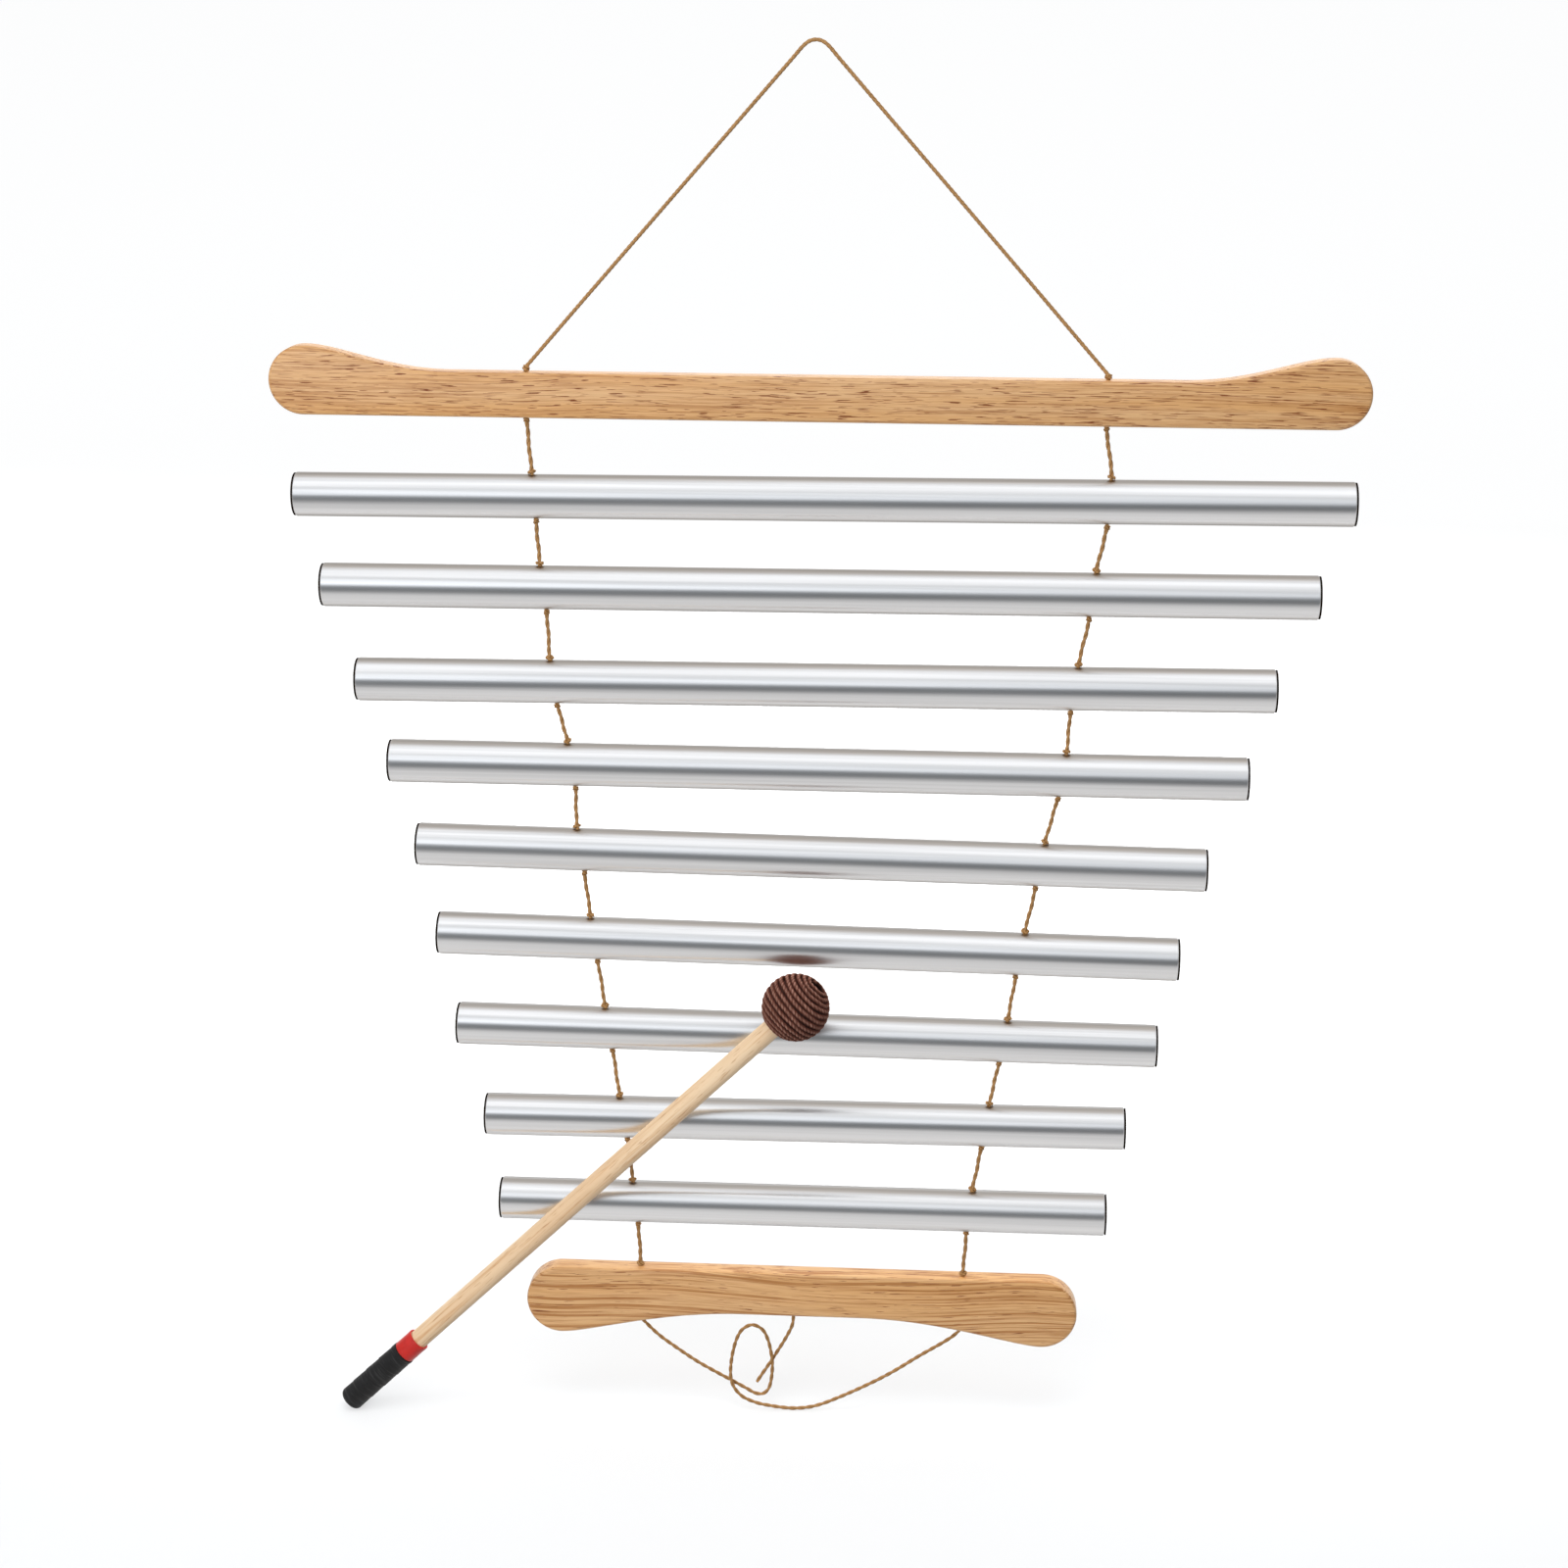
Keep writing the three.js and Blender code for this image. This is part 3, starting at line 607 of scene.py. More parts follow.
def yarn_finish():
    """Wool: painted shade darkens the grooves, and light fibres are painted on the crowns as
    highlight.
    """
    finish = Finish("brown_yarn", Roughness=0.95, Specular_IOR_Level=0.2)
    laid = finish.laid()
    fibres = finish.noise(laid, (350, 3200, 3200), detail=3.0)
    patches = finish.noise(laid, (220, 500, 500))
    tone = finish.tone()
    # Painted shade: the grooves between the rows are darkened where the mask falls.
    tint = finish.over(rgb("yarn_dark_and_groove_shade"), rgb("yarn"), tone, 0.5, 0.85)
    # Painted highlight: light fibres only where the mask is near 1, on the outermost crowns.
    crown = finish.maths("MULTIPLY", finish.between(tone, 0.84, 0.99),
                         finish.between(fibres, 0.35, 0.65, 0.15, 1.0))
    tint = finish.mix(finish.maths("MULTIPLY", crown, 0.85), tint, rgb("yarn_painted_highlight"))
    tint = finish.over(tint, rgb("yarn_dark_and_groove_shade"), patches, 0.5, 0.8, 0.5)
    return finish.finish(Base_Color=tint, Normal=finish.bump(fibres, 0.8, 0.0003))


def core_finish():
    finish = Finish("dark_core", Roughness=0.9)
    grain = finish.noise(finish.here(), (700, 700, 700), detail=3.0)
    return finish.finish(Base_Color=finish.mix(grain, rgb("yarn_dark_and_groove_shade"), rgb("yarn")))


def band_finish():
    finish = Finish("red_band", Specular_IOR_Level=0.3, Coat_Weight=0.1, Coat_Roughness=0.2)
    laid = finish.laid()
    wear = finish.noise(laid, (300, 300, 300), detail=3.0)
    tint = finish.over(rgb("red_band"), rgb("red_band", 0.6), wear, 0.4, 0.8, 0.5)
    return finish.finish(Base_Color=tint, Roughness=finish.between(wear, 0.3, 0.7, 0.28, 0.42),
                         Normal=finish.bump(wear, 0.12, 0.0002))


def tape_finish():
    """Cloth tape: a fine weave, folds round the stick painted paler on their crests as highlight,
    and paler scuffs.
    """
    finish = Finish("black_tape", Specular_IOR_Level=0.25)
    laid = finish.laid()
    folds = finish.noise(laid, (900, 90, 90))
    weave = finish.noise(laid, (2600, 2600, 2600), detail=1.0)
    scuffs = finish.noise(laid, (420, 160, 160), detail=4.0, roughness=0.7)
    pale = tuple(0.012 + part for part in rgb("black_tape", 1.5))
    tint = finish.over(rgb("black_tape"), pale, scuffs, 0.5, 0.8, 0.7)
    # Painted highlight: the crests of the folds are painted paler.
    tint = finish.over(tint, pale, folds, 0.55, 0.7, 0.8)
    return finish.finish(Base_Color=tint, Roughness=finish.between(scuffs, 0.3, 0.7, 0.48, 0.62),
                         Normal=finish.bump(folds, 0.9, 0.0004, finish.bump(weave, 0.25, 0.00012)))


FINISHES = {
    "aluminium": aluminium_finish,
    "cap": cap_finish,
    "top_oak": lambda: oak_finish("upper_oak", 0.5, 0.0, 0.0016, 0.0, 12, (3.1, 0.4, 0.2)),
    "bottom_oak": lambda: oak_finish("lower_oak", 0.85, -0.06, 0.005, 0.2, 7, (8.3, 2.0, 5.2)),
    "cord": cord_finish,
    "birch": birch_finish,
    "yarn": yarn_finish,
    "core": core_finish,
    "band": band_finish,
    "tape": tape_finish,
}
made_finishes = {}


def finish_named(name):
    """The material of that name, made the first time it is asked for."""
    if name not in made_finishes:
        made_finishes[name] = FINISHES[name]()
    return made_finishes[name]


# Cords

def smooth_route(points, per_stretch=40):
    """A centripetal Catmull-Rom curve through the points: on each stretch the cubic whose ends'
    tangents weigh the neighbouring chords by the square roots of their lengths."""
    points = np.asarray(points, float)
    padded = np.concatenate([[2 * points[0] - points[1]], points, [2 * points[-1] - points[-2]]])
    a, b, c, d = padded[:-3], padded[1:-2], padded[2:-1], padded[3:]
    ab, bc, cd = (np.sqrt(np.linalg.norm(q - p, axis=1, keepdims=True))
                  for p, q in ((a, b), (b, c), (c, d)))
    start = ((b - a) / ab - (c - a) / (ab + bc) + (c - b) / bc) * bc
    end = ((c - b) / bc - (d - b) / (bc + cd) + (d - c) / cd) * bc
    t = np.linspace(0, 1, per_stretch, endpoint=False)[None, :, None]
    b, c, start, end = (x[:, None] for x in (b, c, start, end))
    second, third = 3 * (c - b) - 2 * start - end, 2 * (b - c) + start + end
    cubic = b + start * t + second * t ** 2 + third * t ** 3
    return np.concatenate([cubic.reshape(-1, 3), points[-1:]])


def evenly(points, step):
    """The same line with its points a step apart, and its running length."""
    run = np.concatenate([[0], np.cumsum(np.linalg.norm(np.diff(points, axis=0), axis=1))])
    along = np.linspace(0, run[-1], max(4, int(round(run[-1] / step)) + 1))
    return np.stack([np.interp(along, run, points[:, k]) for k in range(3)], -1), along


def strands(points, hint, diameter, pitch, plies, phase=0.0, step=0.35 * MM, sides=10, share=0.5):
    """Plies twisted about a line: at a running length s, the middle of ply k has turned round the
    line by 2 pi (s / pitch + k / plies).

    The mask attribute is 1 at a ply's outermost point and 0 where plies meet, for painted shade.
    """
    points, along = evenly(points, step)
    tangent = unit(np.gradient(points, axis=0))
    hint = hint(points) if callable(hint) else np.broadcast_to(hint, points.shape)
    first = unit(hint - np.sum(hint * tangent, 1, keepdims=True) * tangent)
    second = np.cross(tangent, first)
    offset = diameter * share / 2
    radius = diameter / 2 - offset
    made = []
    for ply in range(plies):
        turn = 2 * np.pi * (along / pitch + ply / plies) + phase
        out = around(turn, first, second)
        side = np.cross(tangent, out)
        surface = sweep(points + offset * out, out, side, radius * 1.03, sides, along)
        surface["tone"] = 0.5 + 0.5 * surface["laid"][:, 1] / radius
        surface["laid"] = surface["laid"] + [0.37 * ply, 0.0, 0.0]
        made.append(surface)
    return join(made)


def knot(centre, way, phase, wide=1.0, tall=1.4):
    """A knot round a cord: a strand coiled twice about the cord on a tilted axis, drawn in at
    both ends; the tilt makes its turns cross the cord at a slant."""
    spin = np.linspace(0, 1, 90)
    angle = 2 * np.pi * 2.1 * spin + phase
    width = sizes().cord_diameter * 0.68
    reach = wide * sizes().knot_diameter / 2 - width / 2
    first = unit(np.cross(way, BACK) + 1e-9)
    second = np.cross(way, first)
    radius = reach * np.sqrt(np.clip(2.4 * np.sin(np.pi * spin), 0, 1))
    height = (spin - 0.5) * tall * (sizes().knot_diameter / 2 - width / 2)
    height = height + 0.25 * radius * np.cos(angle + 1.0 + phase)
    points = centre + radius[:, None] * around(angle, first, second) + height[:, None] * way

    def outwards(places):
        from_axis = places - centre
        return from_axis - (from_axis @ way)[:, None] * way + 1e-6 * first

    return strands(points, outwards, width, 4.5 * MM, 2, phase, share=0.36)


def cord_line(points, phase=0.0, tight=1.0, thick=1.0):
    """A stretch of the two-strand cord along points; a tight cord has a flatter, closer twist."""
    made = strands(points, BACK, thick * sizes().cord_diameter, sizes().cord_pitch * tight, 2,
                   phase, share=0.3 * tight)
    # How strong the painted groove shade is: weaker on a tight cord.
    depth = 0.3 if tight < 1.0 else 0.7
    made["tone"] = 1 - depth + depth * made["tone"]
    return made


def free_cord(name, route, body, knots, tight=1.0):
    """A free cord with its knots, laid along its route."""
    tied = [knot(spot - sizes().knot_sink * UP, UP, i * 1.3) for i, spot in enumerate(knots)]
    surface = join([cord_line(route, tight=tight)] + tied)
    piece = place(name, surface, "cord", body, "cord", name.replace("_looks", ""))


class CHIME_OT_camera(bpy.types.Operator):
    """Stand the camera where the photograph was taken"""

    bl_idname = "chime.camera"
    bl_label = "Camera"

    def execute(self, context):
        data = bpy.data.cameras.new("camera")
        data.lens = CAMERA_LENS
        data.sensor_width = 36.0
        data.sensor_fit = "HORIZONTAL"
        data.clip_end = 100.0
        camera = add("camera", data)
        yaw, flat = CAMERA_YAW, math.cos(CAMERA_PITCH)
        ahead = Vector((-math.sin(yaw) * flat, math.cos(yaw) * flat, -math.sin(CAMERA_PITCH)))
        right = Vector((math.cos(yaw), math.sin(yaw), 0.0))
        upright = right.cross(ahead)
        tilted = right * math.cos(CAMERA_ROLL) + upright * math.sin(CAMERA_ROLL)
        turned_up = upright * math.cos(CAMERA_ROLL) - right * math.sin(CAMERA_ROLL)
        axes = Matrix((tilted, turned_up, -ahead)).transposed()
        camera.matrix_world = Matrix.Translation(CAMERA_PLACE) @ axes.to_4x4()
        context.scene.camera = camera
        return {"FINISHED"}


class CHIME_OT_free_cords(bpy.types.Operator):
    """Hang and lay the hanger cord, the cord under the lower bar and its tail"""

    bl_idname = "chime.free_cords"
    bl_label = "Free cords"

    def execute(self, context):
        ends = [top_knot(0, side) for side in (-1, 1)]
        rise = np.array([[x, 0.0, z] for x, z in HANGER_RISE]) * MM
        route = smooth_route(np.concatenate([[ends[0]], rise, [ends[1]]]))
        free_cord("hanger_cord_looks", route, "hanger", ends, tight=0.55)
        exits = [[on_hole(10, side, 0)[0], 0.0, box(f"cord_{word}_10")[0][2] - CLEARANCE]
                 for word, side in SIDES.items()]
        route = smooth_route(np.concatenate([[exits[0]], np.array(LOOP_ROUTE) * MM, [exits[1]]]))
        free_cord("lower_loop_cord_looks", route, "lower_bar", [])
        middle, along, up = level(10)
        depth = BOTTOM_BAR["waist"] - TAIL_HOLE_DEPTH + CLEARANCE
        root = middle + TAIL_HOLE_PLACE * along - depth * up
        route = smooth_route(np.concatenate([[root], np.array(TAIL_ROUTE) * MM]))
        free_cord("tail_cord_looks", route, "lower_bar", [])
        return {"FINISHED"}


class CHIME_OT_ladder_cords(bpy.types.Operator):
    """Knot the two ladder cords above and below every tube"""

    bl_idname = "chime.ladder_cords"
    bl_label = "Ladder cords"

    def execute(self, context):
        tuck = knot_standoff() * 0.8
        for word, side in SIDES.items():
            ends = [on_hole(0, side, TOP_BAR["waist"] + tuck), on_hole(0, side, -tuck)]
            place(f"bar_cord_{word}_looks", cord_line(np.array(ends)), "cord", "upper_bar", "cord",
                  f"bar_cord_{word}")
            for number in range(1, 11):
                self.stretch(number, word, side, tuck)
        return {"FINISHED"}

    def stretch(self, number, word, side, tuck):
        """From the knot under the level above, with a slight wave, through the knot on top, and
        out below."""
        start, turn = under_knot(number - 1, side), top_knot(number, side)
        up = unit(turn - on_hole(number, side, 0.0))
        if number == 10:
            end = np.array([turn[0], turn[1], box(f"cord_{word}_10")[0][2] - CLEARANCE])
        else:
            end = on_hole(number, side, -tube_radius() - tuck)
        line = np.concatenate([np.linspace(start, turn, 40), np.linspace(turn, end, 30)[1:]])
        fall = np.linspace(0, np.pi, 40)
        phase = 1.7 * number + side
        line[:40, 0] += 0.22 * MM * np.sin(2.3 * fall + phase) * np.sin(fall)
        slant = unit(turn - start)
        sink = sizes().knot_sink
        surface = join([cord_line(line, phase, thick=1.12),
                        knot(start - sink * slant, slant, phase, wide=0.86),
                        knot(turn - 1.6 * sink * up, up, phase + 2, wide=1.12, tall=0.6)])
        body = f"chime_tube_{number}" if number < 10 else "lower_bar"
        place(f"cord_{word}_{number}_looks", surface, "cord", body, "cord", f"cord_{word}_{number}")


# Bars, tubes and caps

def bar_outline(total, lobe_height, shape, steps=26):
    """Closed outline of a bar, its straight edge on 0, with its outward normals.

    It runs along the straight edge, round a half circle, up a cubic curve from the lobe's top to
    the waist, along the waist, and back the same way mirrored.
    """
    lobe = lobe_height / 2
    centre = total / 2 - lobe
    waist = centre - shape["blend"]
    lobe_ease, waist_ease = shape["ease"]
    angle = np.linspace(-np.pi / 2, np.pi / 2, steps * 2)
    arc = np.stack([centre + lobe * np.cos(angle), lobe + lobe * np.sin(angle)], -1)
    t = np.linspace(0, 1, steps)[1:, None]
    corners = [(centre, lobe_height), (centre - lobe_ease, lobe_height),
               (waist + waist_ease, shape["waist"]), (waist, shape["waist"])]
    a, b, c, d = (np.array(p) for p in corners)
    blend = (1 - t) ** 3 * a + 3 * t * (1 - t) ** 2 * b + 3 * t ** 2 * (1 - t) * c + t ** 3 * d
    half = np.concatenate([arc, blend])
    outline = np.concatenate([half, half[::-1] * [-1, 1]])
    tangent = unit(np.roll(outline, -1, axis=0) - np.roll(outline, 1, axis=0))
    return outline, np.stack([tangent[:, 1], -tangent[:, 0]], -1)


def bar_surface(node, shape, lobes_up):
    """A bar: its outline carried round the rounded edge of its thickness.

    Ring k lies in from the outline by r (1 - sin a) and r (1 - cos a) in from the face, for a
    from 0 to a quarter turn, on both faces. The flat faces close the first and the last ring.
    """
    low, high = box(node)
    outline, normal = bar_outline(high[0] - low[0], high[2] - low[2], shape)
    rounding = sizes().bar_rounding
    quarter = np.linspace(0, np.pi / 2, 7)
    inset = rounding * (1 - np.sin(quarter))
    depth = low[1] + rounding * (1 - np.cos(quarter))
    inset = np.concatenate([inset, inset[::-1]])
    depth = np.concatenate([depth, low[1] + high[1] - depth[::-1]])
    rings = outline[None] - inset[:, None, None] * normal[None]
    upwards = 1.0 if lobes_up else -1.0
    base = low[2] if lobes_up else high[2]
    points = np.stack([rings[..., 0] + (low[0] + high[0]) / 2,
                       np.broadcast_to(depth[:, None], rings.shape[:2]),
                       base + upwards * rings[..., 1]], -1)
    rows, columns = points.shape[:2]
    points = points.reshape(-1, 3)
    ends = [np.arange(columns)[None], (rows - 1) * columns + np.arange(columns)[None]]
    return {"points": points, "faces": [grid_faces(rows, columns)] + ends, "laid": points,
            "tone": np.ones(len(points))}


class CHIME_OT_bars(bpy.types.Operator):
    """Shape the two wooden bars and drill them for the cords"""

    bl_idname = "chime.bars"
    bl_label = "Wooden bars"

    def execute(self, context):
        past = 5 * MM
        below = -40 * MM
        surface = bar_surface("top_bar", TOP_BAR, lobes_up=True)
        piece = place("top_bar_looks", surface, "top_oak", "upper_bar", "oak", "top_bar")
        drill(piece, cord_holes(0, -past, TOP_BAR["waist"] + past))
        surface = bar_surface("bottom_bar", BOTTOM_BAR, lobes_up=False)
        piece = place("bottom_bar_looks", surface, "bottom_oak", "lower_bar", "oak", "bottom_bar")
        middle, along, up = level(10)
        tail = middle + TAIL_HOLE_PLACE * along
        blind = (tail + below * up, tail - (BOTTOM_BAR["waist"] - TAIL_HOLE_DEPTH) * up)
        drill(piece, cord_holes(10, past, below) + [blind])
        return {"FINISHED"}


# Further rings along a tube, as shares of its holes' distance, so that drilling leaves short faces
RING_SHARES = (-1.03, -0.97, -0.5, 0, 0.5, 0.97, 1.03)


class CHIME_OT_tubes(bpy.types.Operator):
    """Draw the nine tubes and drill them for the cords"""

    bl_idname = "chime.tubes"
    bl_label = "Tubes"

    def execute(self, context):
        for number in TUBES:
            middle, along = level(number)[:2]
            low, high = span(f"tube_{number}", along)
            half = (high - low) / 2
            outer = tube_radius()
            inner = outer - sizes().tube_wall
            corners = [[-half, inner], [-half, outer], [half, outer], [half, inner]]
            profile = rounded(corners, sizes().tube_rounding, closed=True)
            rings = [[share * hole_place(number), outer] for share in RING_SHARES]
            cut = 1 + np.argmax(np.diff(profile[:, 0]) * (profile[1:, 1] == outer))
            profile = np.concatenate([profile[:cut], rings, profile[cut:]])
            surface = turned(profile, middle, along, 96, ring=True)
            piece = place(f"tube_{number}_looks", surface, "aluminium", f"chime_tube_{number}",
                          "tube", f"tube_{number}")
            past = outer + 4 * MM
            drill(piece, cord_holes(number, -past, past))
        return {"FINISHED"}


# An end cap's edge within the tube's, its height outside the tube, and the dome's share of that
CAP_INSET, CAP_HEIGHT, CAP_DOME = 0.3 * MM, 1.0 * MM, 0.45 * MM
CAP_ROUNDING = 0.25 * MM


class CHIME_OT_caps(bpy.types.Operator):
    """Fit the dark caps in the tubes' ends"""

    bl_idname = "chime.caps"
    bl_label = "End caps"

    def execute(self, context):
        rim = tube_radius() - CAP_INSET
        plug = tube_radius() - sizes().tube_wall - CLEARANCE
        dome = np.linspace(1, 0, 9)[1:]
        for number in TUBES:
            middle, along = level(number)[:2]
            for word, side in SIDES.items():
                node, way = f"cap_{word}_{number}", side * along
                low, high = span(node, way)
                foot, edge = high - CAP_HEIGHT, high - CAP_DOME
                corners = [[low, 0], [low, plug], [foot, plug], [foot, rim], [edge, rim]]
                crown = np.stack([high - CAP_DOME * dome ** 2, rim * dome], -1)
                profile = np.concatenate([rounded(corners, CAP_ROUNDING), crown])
                profile[:, 0] -= low
                profile[[0, -1], 1] = TIP
                surface = turned(profile, middle + (low - middle @ way) * way, way, 64)
                place(f"{node}_looks", surface, "cap", f"chime_tube_{number}", "end_cap",
                      node).visible_glossy = False
        return {"FINISHED"}


# Mallet

MALLET_SIDES = 72


def mallet_way():
    """Direction of the stick, from its foot to its head: the longest direction of its corners."""
    points = corners_of("mallet_stick")
    way = np.linalg.svd(points - points.mean(0), full_matrices=False)[2][0]
    return way * np.sign(way[2])


def on_axis(height):
    """The point of the mallet's axis at a projection along it."""
    way, middle = mallet_way(), corners_of("mallet_stick").mean(0)
    return middle - (middle @ way) * way + height * way


class CHIME_OT_mallet_stick(bpy.types.Operator):
    """Turn the mallet's pale dowel"""

    bl_idname = "chime.mallet_stick"
    bl_label = "Mallet stick"

    def execute(self, context):
        way = mallet_way()
        low, high = span("mallet_stick", way)
        reach = high - low
        corners = [[0, 0], [0, STICK_RADIUS], [reach, STICK_RADIUS], [reach, 0]]
        profile = rounded(corners, 0.5 * MM)
        profile[[0, -1], 1] = TIP
        surface = turned(profile, on_axis(low), way, MALLET_SIDES)
        place("mallet_stick_looks", surface, "birch", "mallet", "birch", "mallet_stick")
        return {"FINISHED"}


class CHIME_OT_mallet_head(bpy.types.Operator):
    """Wind the yarn over the mallet's core"""

    bl_idname = "chime.mallet_head"
    bl_label = "Mallet head"

    def execute(self, context):
        way = mallet_way()
        heart = on_axis(span("mallet_core", way)[1] - CORE_RADIUS)
        angle = np.linspace(math.asin(SLEEVE_BORE / CORE_RADIUS), np.pi, 30)
        shell = CORE_RADIUS * np.stack([-np.cos(angle), np.sin(angle)], -1)
        shell[-1, 1] = TIP
        bore_top = span("mallet_stick", way)[1] - heart @ way + CLEARANCE
        bore = [[bore_top, TIP], [bore_top, SLEEVE_BORE]]
        surface = turned(np.concatenate([bore, shell]), heart, way, MALLET_SIDES)
        place("mallet_core_looks", surface, "core", "mallet", "birch", "mallet_core")
        place("mallet_yarn_looks", self.yarn(heart, way), "yarn", "mallet", "yarn", "mallet_yarn")
        return {"FINISHED"}

    def yarn(self, heart, way):
        """Three-ply yarn on a spiral over the ball: the angle from the stick grows evenly from the
        stick to the far pole, but for a slight wander, while the turn round it grows by one full
        turn a row."""
        width = sizes().yarn_diameter
        radius = HEAD_RADIUS - width / 2
        start = math.asin(YARN_START_RADIUS / radius)
        end = math.pi - math.asin(YARN_END_RADIUS / radius)
        loops = 14
        share = np.linspace(0, 1, loops * 90)
        turn = 2 * np.pi * loops * share
        wander = np.sin(3.1 * turn + 1.0) + np.sin(1.37 * turn) + np.sin(5.3 * turn + 2)
        tip = start + (end - start) * share + 0.12 * MM * wander / radius
        first = unit(np.cross(way, BACK))
        out = around(turn, first, np.cross(way, first))
        points = heart + radius * (np.sin(tip)[:, None] * out - np.cos(tip)[:, None] * way)
        made = strands(points, lambda places: places - heart, width, 6.5 * MM, 3, sides=12,
                       step=0.4 * MM, share=0.34)
        # The mask falls from 1 on the outermost yarn to 0 a yarn's width in, for painted shade in
        # the grooves.
        made["tone"] = 1 - (HEAD_RADIUS - np.linalg.norm(made["points"] - heart, axis=1)) / width
        return made


class CHIME_OT_mallet_grip(bpy.types.Operator):
    """Wrap the grip in black tape and set the red band above it"""

    bl_idname = "chime.mallet_grip"
    bl_label = "Mallet grip"

    def execute(self, context):
        way = mallet_way()
        low, high = span("mallet_band", way)
        corners = [[0, SLEEVE_BORE], [0, BAND_RADIUS], [high - low, BAND_RADIUS],
                   [high - low, SLEEVE_BORE]]
        profile = rounded(corners, 0.2 * MM, closed=True)
        surface = turned(profile, on_axis(low), way, MALLET_SIDES, ring=True)
        place("mallet_band_looks", surface, "band", "mallet", "red_tape", "mallet_band")
        low, high = span("mallet_grip", way)
        place("mallet_grip_looks", self.grip(on_axis(low), way, high - low), "tape", "mallet",
              "black_tape", "mallet_grip")
        return {"FINISHED"}

    def grip(self, foot, way, tall):
        """A closed sleeve whose outside falls by a tape's thickness over each wrap: the radius is
        least just before the wrap's edge and steps up there, and the edge winds round the stick."""
        sides = 96
        quarter = np.linspace(0, np.pi / 2, 8)
        end = np.stack([1 - np.cos(quarter), np.sin(quarter) - 1], -1) * GRIP_ROUNDING
        side = np.linspace(GRIP_ROUNDING, tall, 180)[1:]
        profile = np.concatenate([
            [[0, TIP]], end + [0, GRIP_RADIUS], np.stack([side, np.full(179, GRIP_RADIUS)], -1),
            [[tall, SLEEVE_BORE], [GRIP_END, SLEEVE_BORE], [GRIP_END, TIP]]])
        height = profile[:, :1]
        angle = 2 * np.pi * np.arange(sides) / sides
        phase = (height / sizes().tape_width + 0.14 * np.sin(angle + 1.0)[None]) % 1.0
        step = np.clip(phase / 0.05, 0, 1) - phase - 0.6
        swell = sizes().tape_thickness * step * np.clip(height / GRIP_ROUNDING - 1.0, 0, 1)
        swell[profile[:, 1] < GRIP_RADIUS * 0.999] = 0
        return turned(profile, foot, way, sides, swell=swell)


# Studio

def panel(name, points, faces, material, unseen=()):
    """A smooth surface that belongs to the studio."""
    mesh = bpy.data.meshes.new(name)
    mesh.from_pydata(points.tolist(), [], faces.tolist())
    mesh.polygons.foreach_set("use_smooth", np.ones(len(faces), bool))
    mesh.materials.append(material)
    made = add(name, mesh)
    for kind in unseen:
        setattr(made, f"visible_{kind}", False)
    return made


def strip(profile, places):
    """A profile of (y, z) pairs carried along X to the places, as points and faces."""
    profile, places = np.asarray(profile, float), np.asarray(places, float)
    rows, columns = len(profile), len(places)
    points = np.stack([np.tile(places, rows), np.repeat(profile[:, 0], columns),
                       np.repeat(profile[:, 1], columns)], -1)
    i, j = np.arange(rows - 1)[:, None], np.arange(columns - 1)[None]
    corner = i * columns + j
    faces = np.stack([corner, corner + 1, corner + columns + 1, corner + columns], -1)
    return points, faces.reshape(-1, 4)


def softbox(name, place_at, aim, width, height, power):
    """A large soft light that shows neither to the camera nor in reflections."""
    data = bpy.data.lights.new(name, "AREA")
    data.shape = "RECTANGLE"
    data.size, data.size_y = width, height
    data.energy = power
    light = add(name, data)
    light.location = place_at
    light.rotation_euler = (Vector(aim) - Vector(place_at)).to_track_quat("-Z", "Y").to_euler()
    light.visible_camera = False
    light.visible_glossy = False
    return light


# What the tubes mirror, from the floor under them, to the front, up and over to the back: (y, z),
# the brightness at the left and at the right, and how warm it is
SURROUND = [
    (0.03, -0.645, 1.05, 1.05, 0.03), (-0.12, -0.645, 0.98, 0.98, 0.02),
    (-0.30, -0.645, 0.93, 0.91, 0.02), (-0.45, -0.645, 0.83, 0.78, 0.02),
    (-0.60, -0.645, 0.67, 0.62, 0.01), (-0.80, -0.645, 0.42, 0.37, 0.0),
    (-0.96, -0.645, 0.30, 0.24, -0.01), (-0.96, -0.45, 0.24, 0.18, -0.03),
    (-0.96, -0.27, 0.29, 0.22, -0.04), (-0.96, -0.15, 0.60, 0.40, -0.04),
    (-0.96, -0.04, 1.55, 0.78, -0.03), (-0.96, 0.06, 1.85, 0.96, -0.03),
    (-0.92, 0.20, 1.64, 0.92, -0.02), (-0.70, 0.31, 1.45, 0.95, -0.01),
    (-0.60, 0.35, 1.02, 0.97, -0.01), (-0.54, 0.38, 1.02, 1.00, 0.0),
    (-0.45, 0.42, 1.50, 1.35, 0.0), (-0.20, 0.50, 1.60, 1.55, 0.0), (0.05, 0.55, 1.50, 1.45, 0.0),
    (0.30, 3.00, 1.45, 1.40, 0.0), (0.50, 3.00, 1.34, 1.32, 0.0), (0.90, 3.00, 1.18, 1.15, 0.02),
    (1.35, 3.00, 0.93, 0.93, 0.05), (1.65, 3.00, 0.76, 0.76, 0.09), (2.40, 3.00, 0.64, 0.64, 0.10),
    (3.80, 2.80, 0.57, 0.57, 0.10), (4.60, 1.60, 0.62, 0.62, 0.08), (4.60, 0.95, 1.15, 1.15, 0.03),
    (4.60, -0.645, 1.10, 1.10, 0.02), (1.20, -0.645, 0.70, 0.70, 0.05),
    (0.60, -0.645, 0.62, 0.62, 0.05), (0.25, -0.645, 0.90, 0.90, 0.04),
    (0.06, -0.645, 1.12, 1.10, 0.03),
]
REFLECTION_ONLY = ("camera", "diffuse", "transmission", "volume_scatter", "shadow")


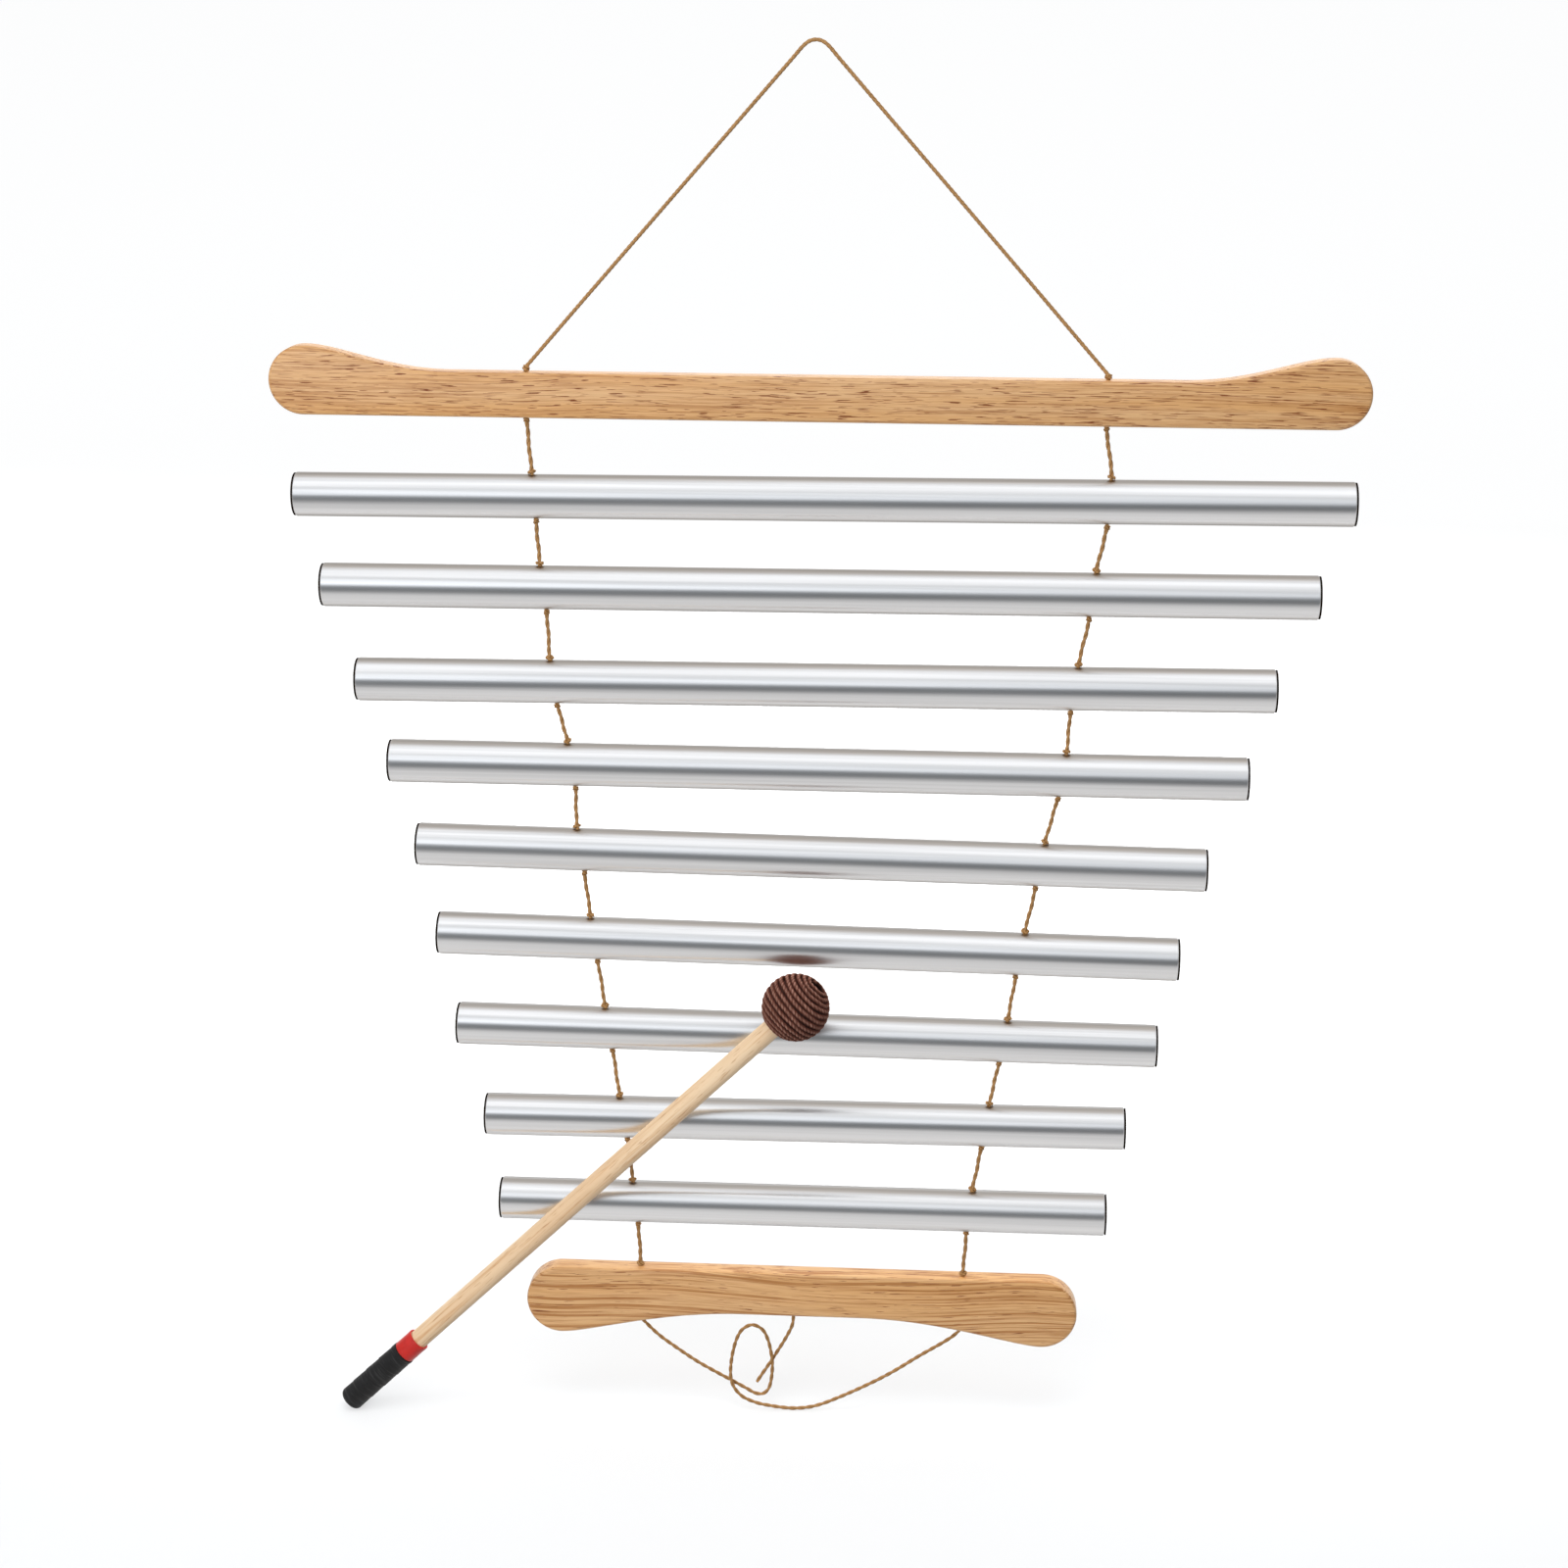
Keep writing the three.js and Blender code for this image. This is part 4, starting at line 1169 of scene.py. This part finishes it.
class CHIME_OT_stage(bpy.types.Operator):
    """Lay the pale floor and set the soft studio lights"""

    bl_idname = "chime.stage"
    bl_label = "Studio"

    def execute(self, context):
        scene = context.scene
        scene.view_settings.view_transform = "Standard"
        floor = Finish("floor", Base_Color=rgb("floor"), Roughness=0.8, Specular_IOR_Level=0.0,
                       Emission_Color=(1.0, 1.0, 1.0))
        depth = floor.node("SeparateXYZ", out=1, Vector=floor.here())
        near = floor.between(depth, -0.3, 0.9, 0.065, 0.315)
        far = floor.between(depth, 0.9, 2.6, 0.0, 0.345)
        floor.finish(Emission_Strength=floor.maths("ADD", near, far))
        front, bend_from, bend_radius, wall_top, half_width = -6.0, 3.0, 2.0, 5.0, 8.0
        bend = np.linspace(0, np.pi / 2, 24)
        sweep_up = [bend_from, FLOOR_LEVEL] + bend_radius * np.stack(
            [np.sin(bend), 1 - np.cos(bend)], -1)
        profile = np.concatenate([[[front, FLOOR_LEVEL]], sweep_up,
                                  [[bend_from + bend_radius, wall_top]]])
        panel("floor", *strip(profile, [-half_width, half_width]), floor.material, ("diffuse",))
        softbox("overhead", (-0.15, -0.75, 1.3), (0.0, 0.0, -0.4), 1.4, 0.8, power=10.5)
        softbox("front", (-0.75, -1.55, -0.15), (0.0, 0.0, -0.47), 1.3, 0.9, power=22.0)
        back = softbox("back", (0.2, 1.3, 0.7), (0.0, 0.0, -0.5), 1.6, 0.6, power=46.0)
        back.data.use_shadow = False
        self.sky(scene)
        self.surround()
        return {"FINISHED"}

    def sky(self, scene):
        """An even light that is dimmer from below: its strength follows the height of the
        direction it comes from."""
        scene.world = bpy.data.worlds.new("studio")
        scene.world.use_nodes = True
        nodes = Nodes(scene.world.node_tree)
        height = nodes.node("SeparateXYZ", out=2, Vector=nodes.node("TexCoord"))
        strength = nodes.node("MapRange", Value=height, From_Min=-0.3, From_Max=0.5, To_Min=0.36,
                              To_Max=0.60)
        background = nodes.tree.nodes["Background"]
        nodes.set(background, "Color", (1.0, 1.0, 1.0))
        nodes.set(background, "Strength", strength)

    def surround(self):
        """The cards and lights that the polished tubes mirror, as one sheet with its brightness
        in an attribute; it shows in reflections only."""
        table = np.array(SURROUND)
        places = np.array([-3.0, -0.5, -0.25, 0.0, 0.25, 0.5, 3.0])
        share = np.clip(places + 0.5, 0, 1)
        glow = table[:, 2:3] * (1 - share) + table[:, 3:4] * share
        warm = 1 + table[:, 4:] * [1, 0, -1, 0]
        material = bpy.data.materials.new("surround")
        material.use_nodes = True
        nodes = Nodes(material.node_tree)
        nodes.tree.nodes.clear()
        shine = nodes.node("Emission", Color=nodes.attribute("glow", 0))
        nodes.set(nodes.tree.nodes.new("ShaderNodeOutputMaterial"), "Surface", shine)
        sheet = panel("surround", *strip(table[:, :2], places), material, REFLECTION_ONLY)
        sheet.data.attributes.new("glow", "FLOAT_COLOR", "POINT").data.foreach_set(
            "color", (glow[..., None] * warm[:, None]).astype(np.float32).ravel())


class CHIME_PT_panel(bpy.types.Panel):
    """Sizes, colours and building steps of the chime"""

    bl_idname = "CHIME_PT_panel"
    bl_label = "Hanging Bar Chime"
    bl_space_type = "VIEW_3D"
    bl_region_type = "UI"
    bl_category = "Chime"

    def draw(self, context):
        for group in (context.scene.chime_sizes, context.scene.chime_colours):
            column = self.layout.column(align=True)
            for name in group.__annotations__:
                column.prop(group, name)
        column = self.layout.column(align=True)
        for operator in OPERATORS:
            column.operator(operator.bl_idname)


OPERATORS = (
    CHIME_OT_camera, CHIME_OT_free_cords, CHIME_OT_ladder_cords, CHIME_OT_bars, CHIME_OT_tubes,
    CHIME_OT_caps, CHIME_OT_mallet_stick, CHIME_OT_mallet_head, CHIME_OT_mallet_grip,
    CHIME_OT_stage,
)
CLASSES = (ChimeSizes, ChimeColours, *OPERATORS, CHIME_PT_panel)


def register():
    for each in CLASSES:
        bpy.utils.register_class(each)
    bpy.types.Scene.chime_sizes = bpy.props.PointerProperty(type=ChimeSizes)
    bpy.types.Scene.chime_colours = bpy.props.PointerProperty(type=ChimeColours)


def unregister():
    del bpy.types.Scene.chime_colours
    del bpy.types.Scene.chime_sizes
    for each in reversed(CLASSES):
        bpy.utils.unregister_class(each)


def main():
    register()
    for operator in OPERATORS:
        group, name = operator.bl_idname.split(".")
        getattr(getattr(bpy.ops, group), name)()


if __name__ == "__main__":
    main()
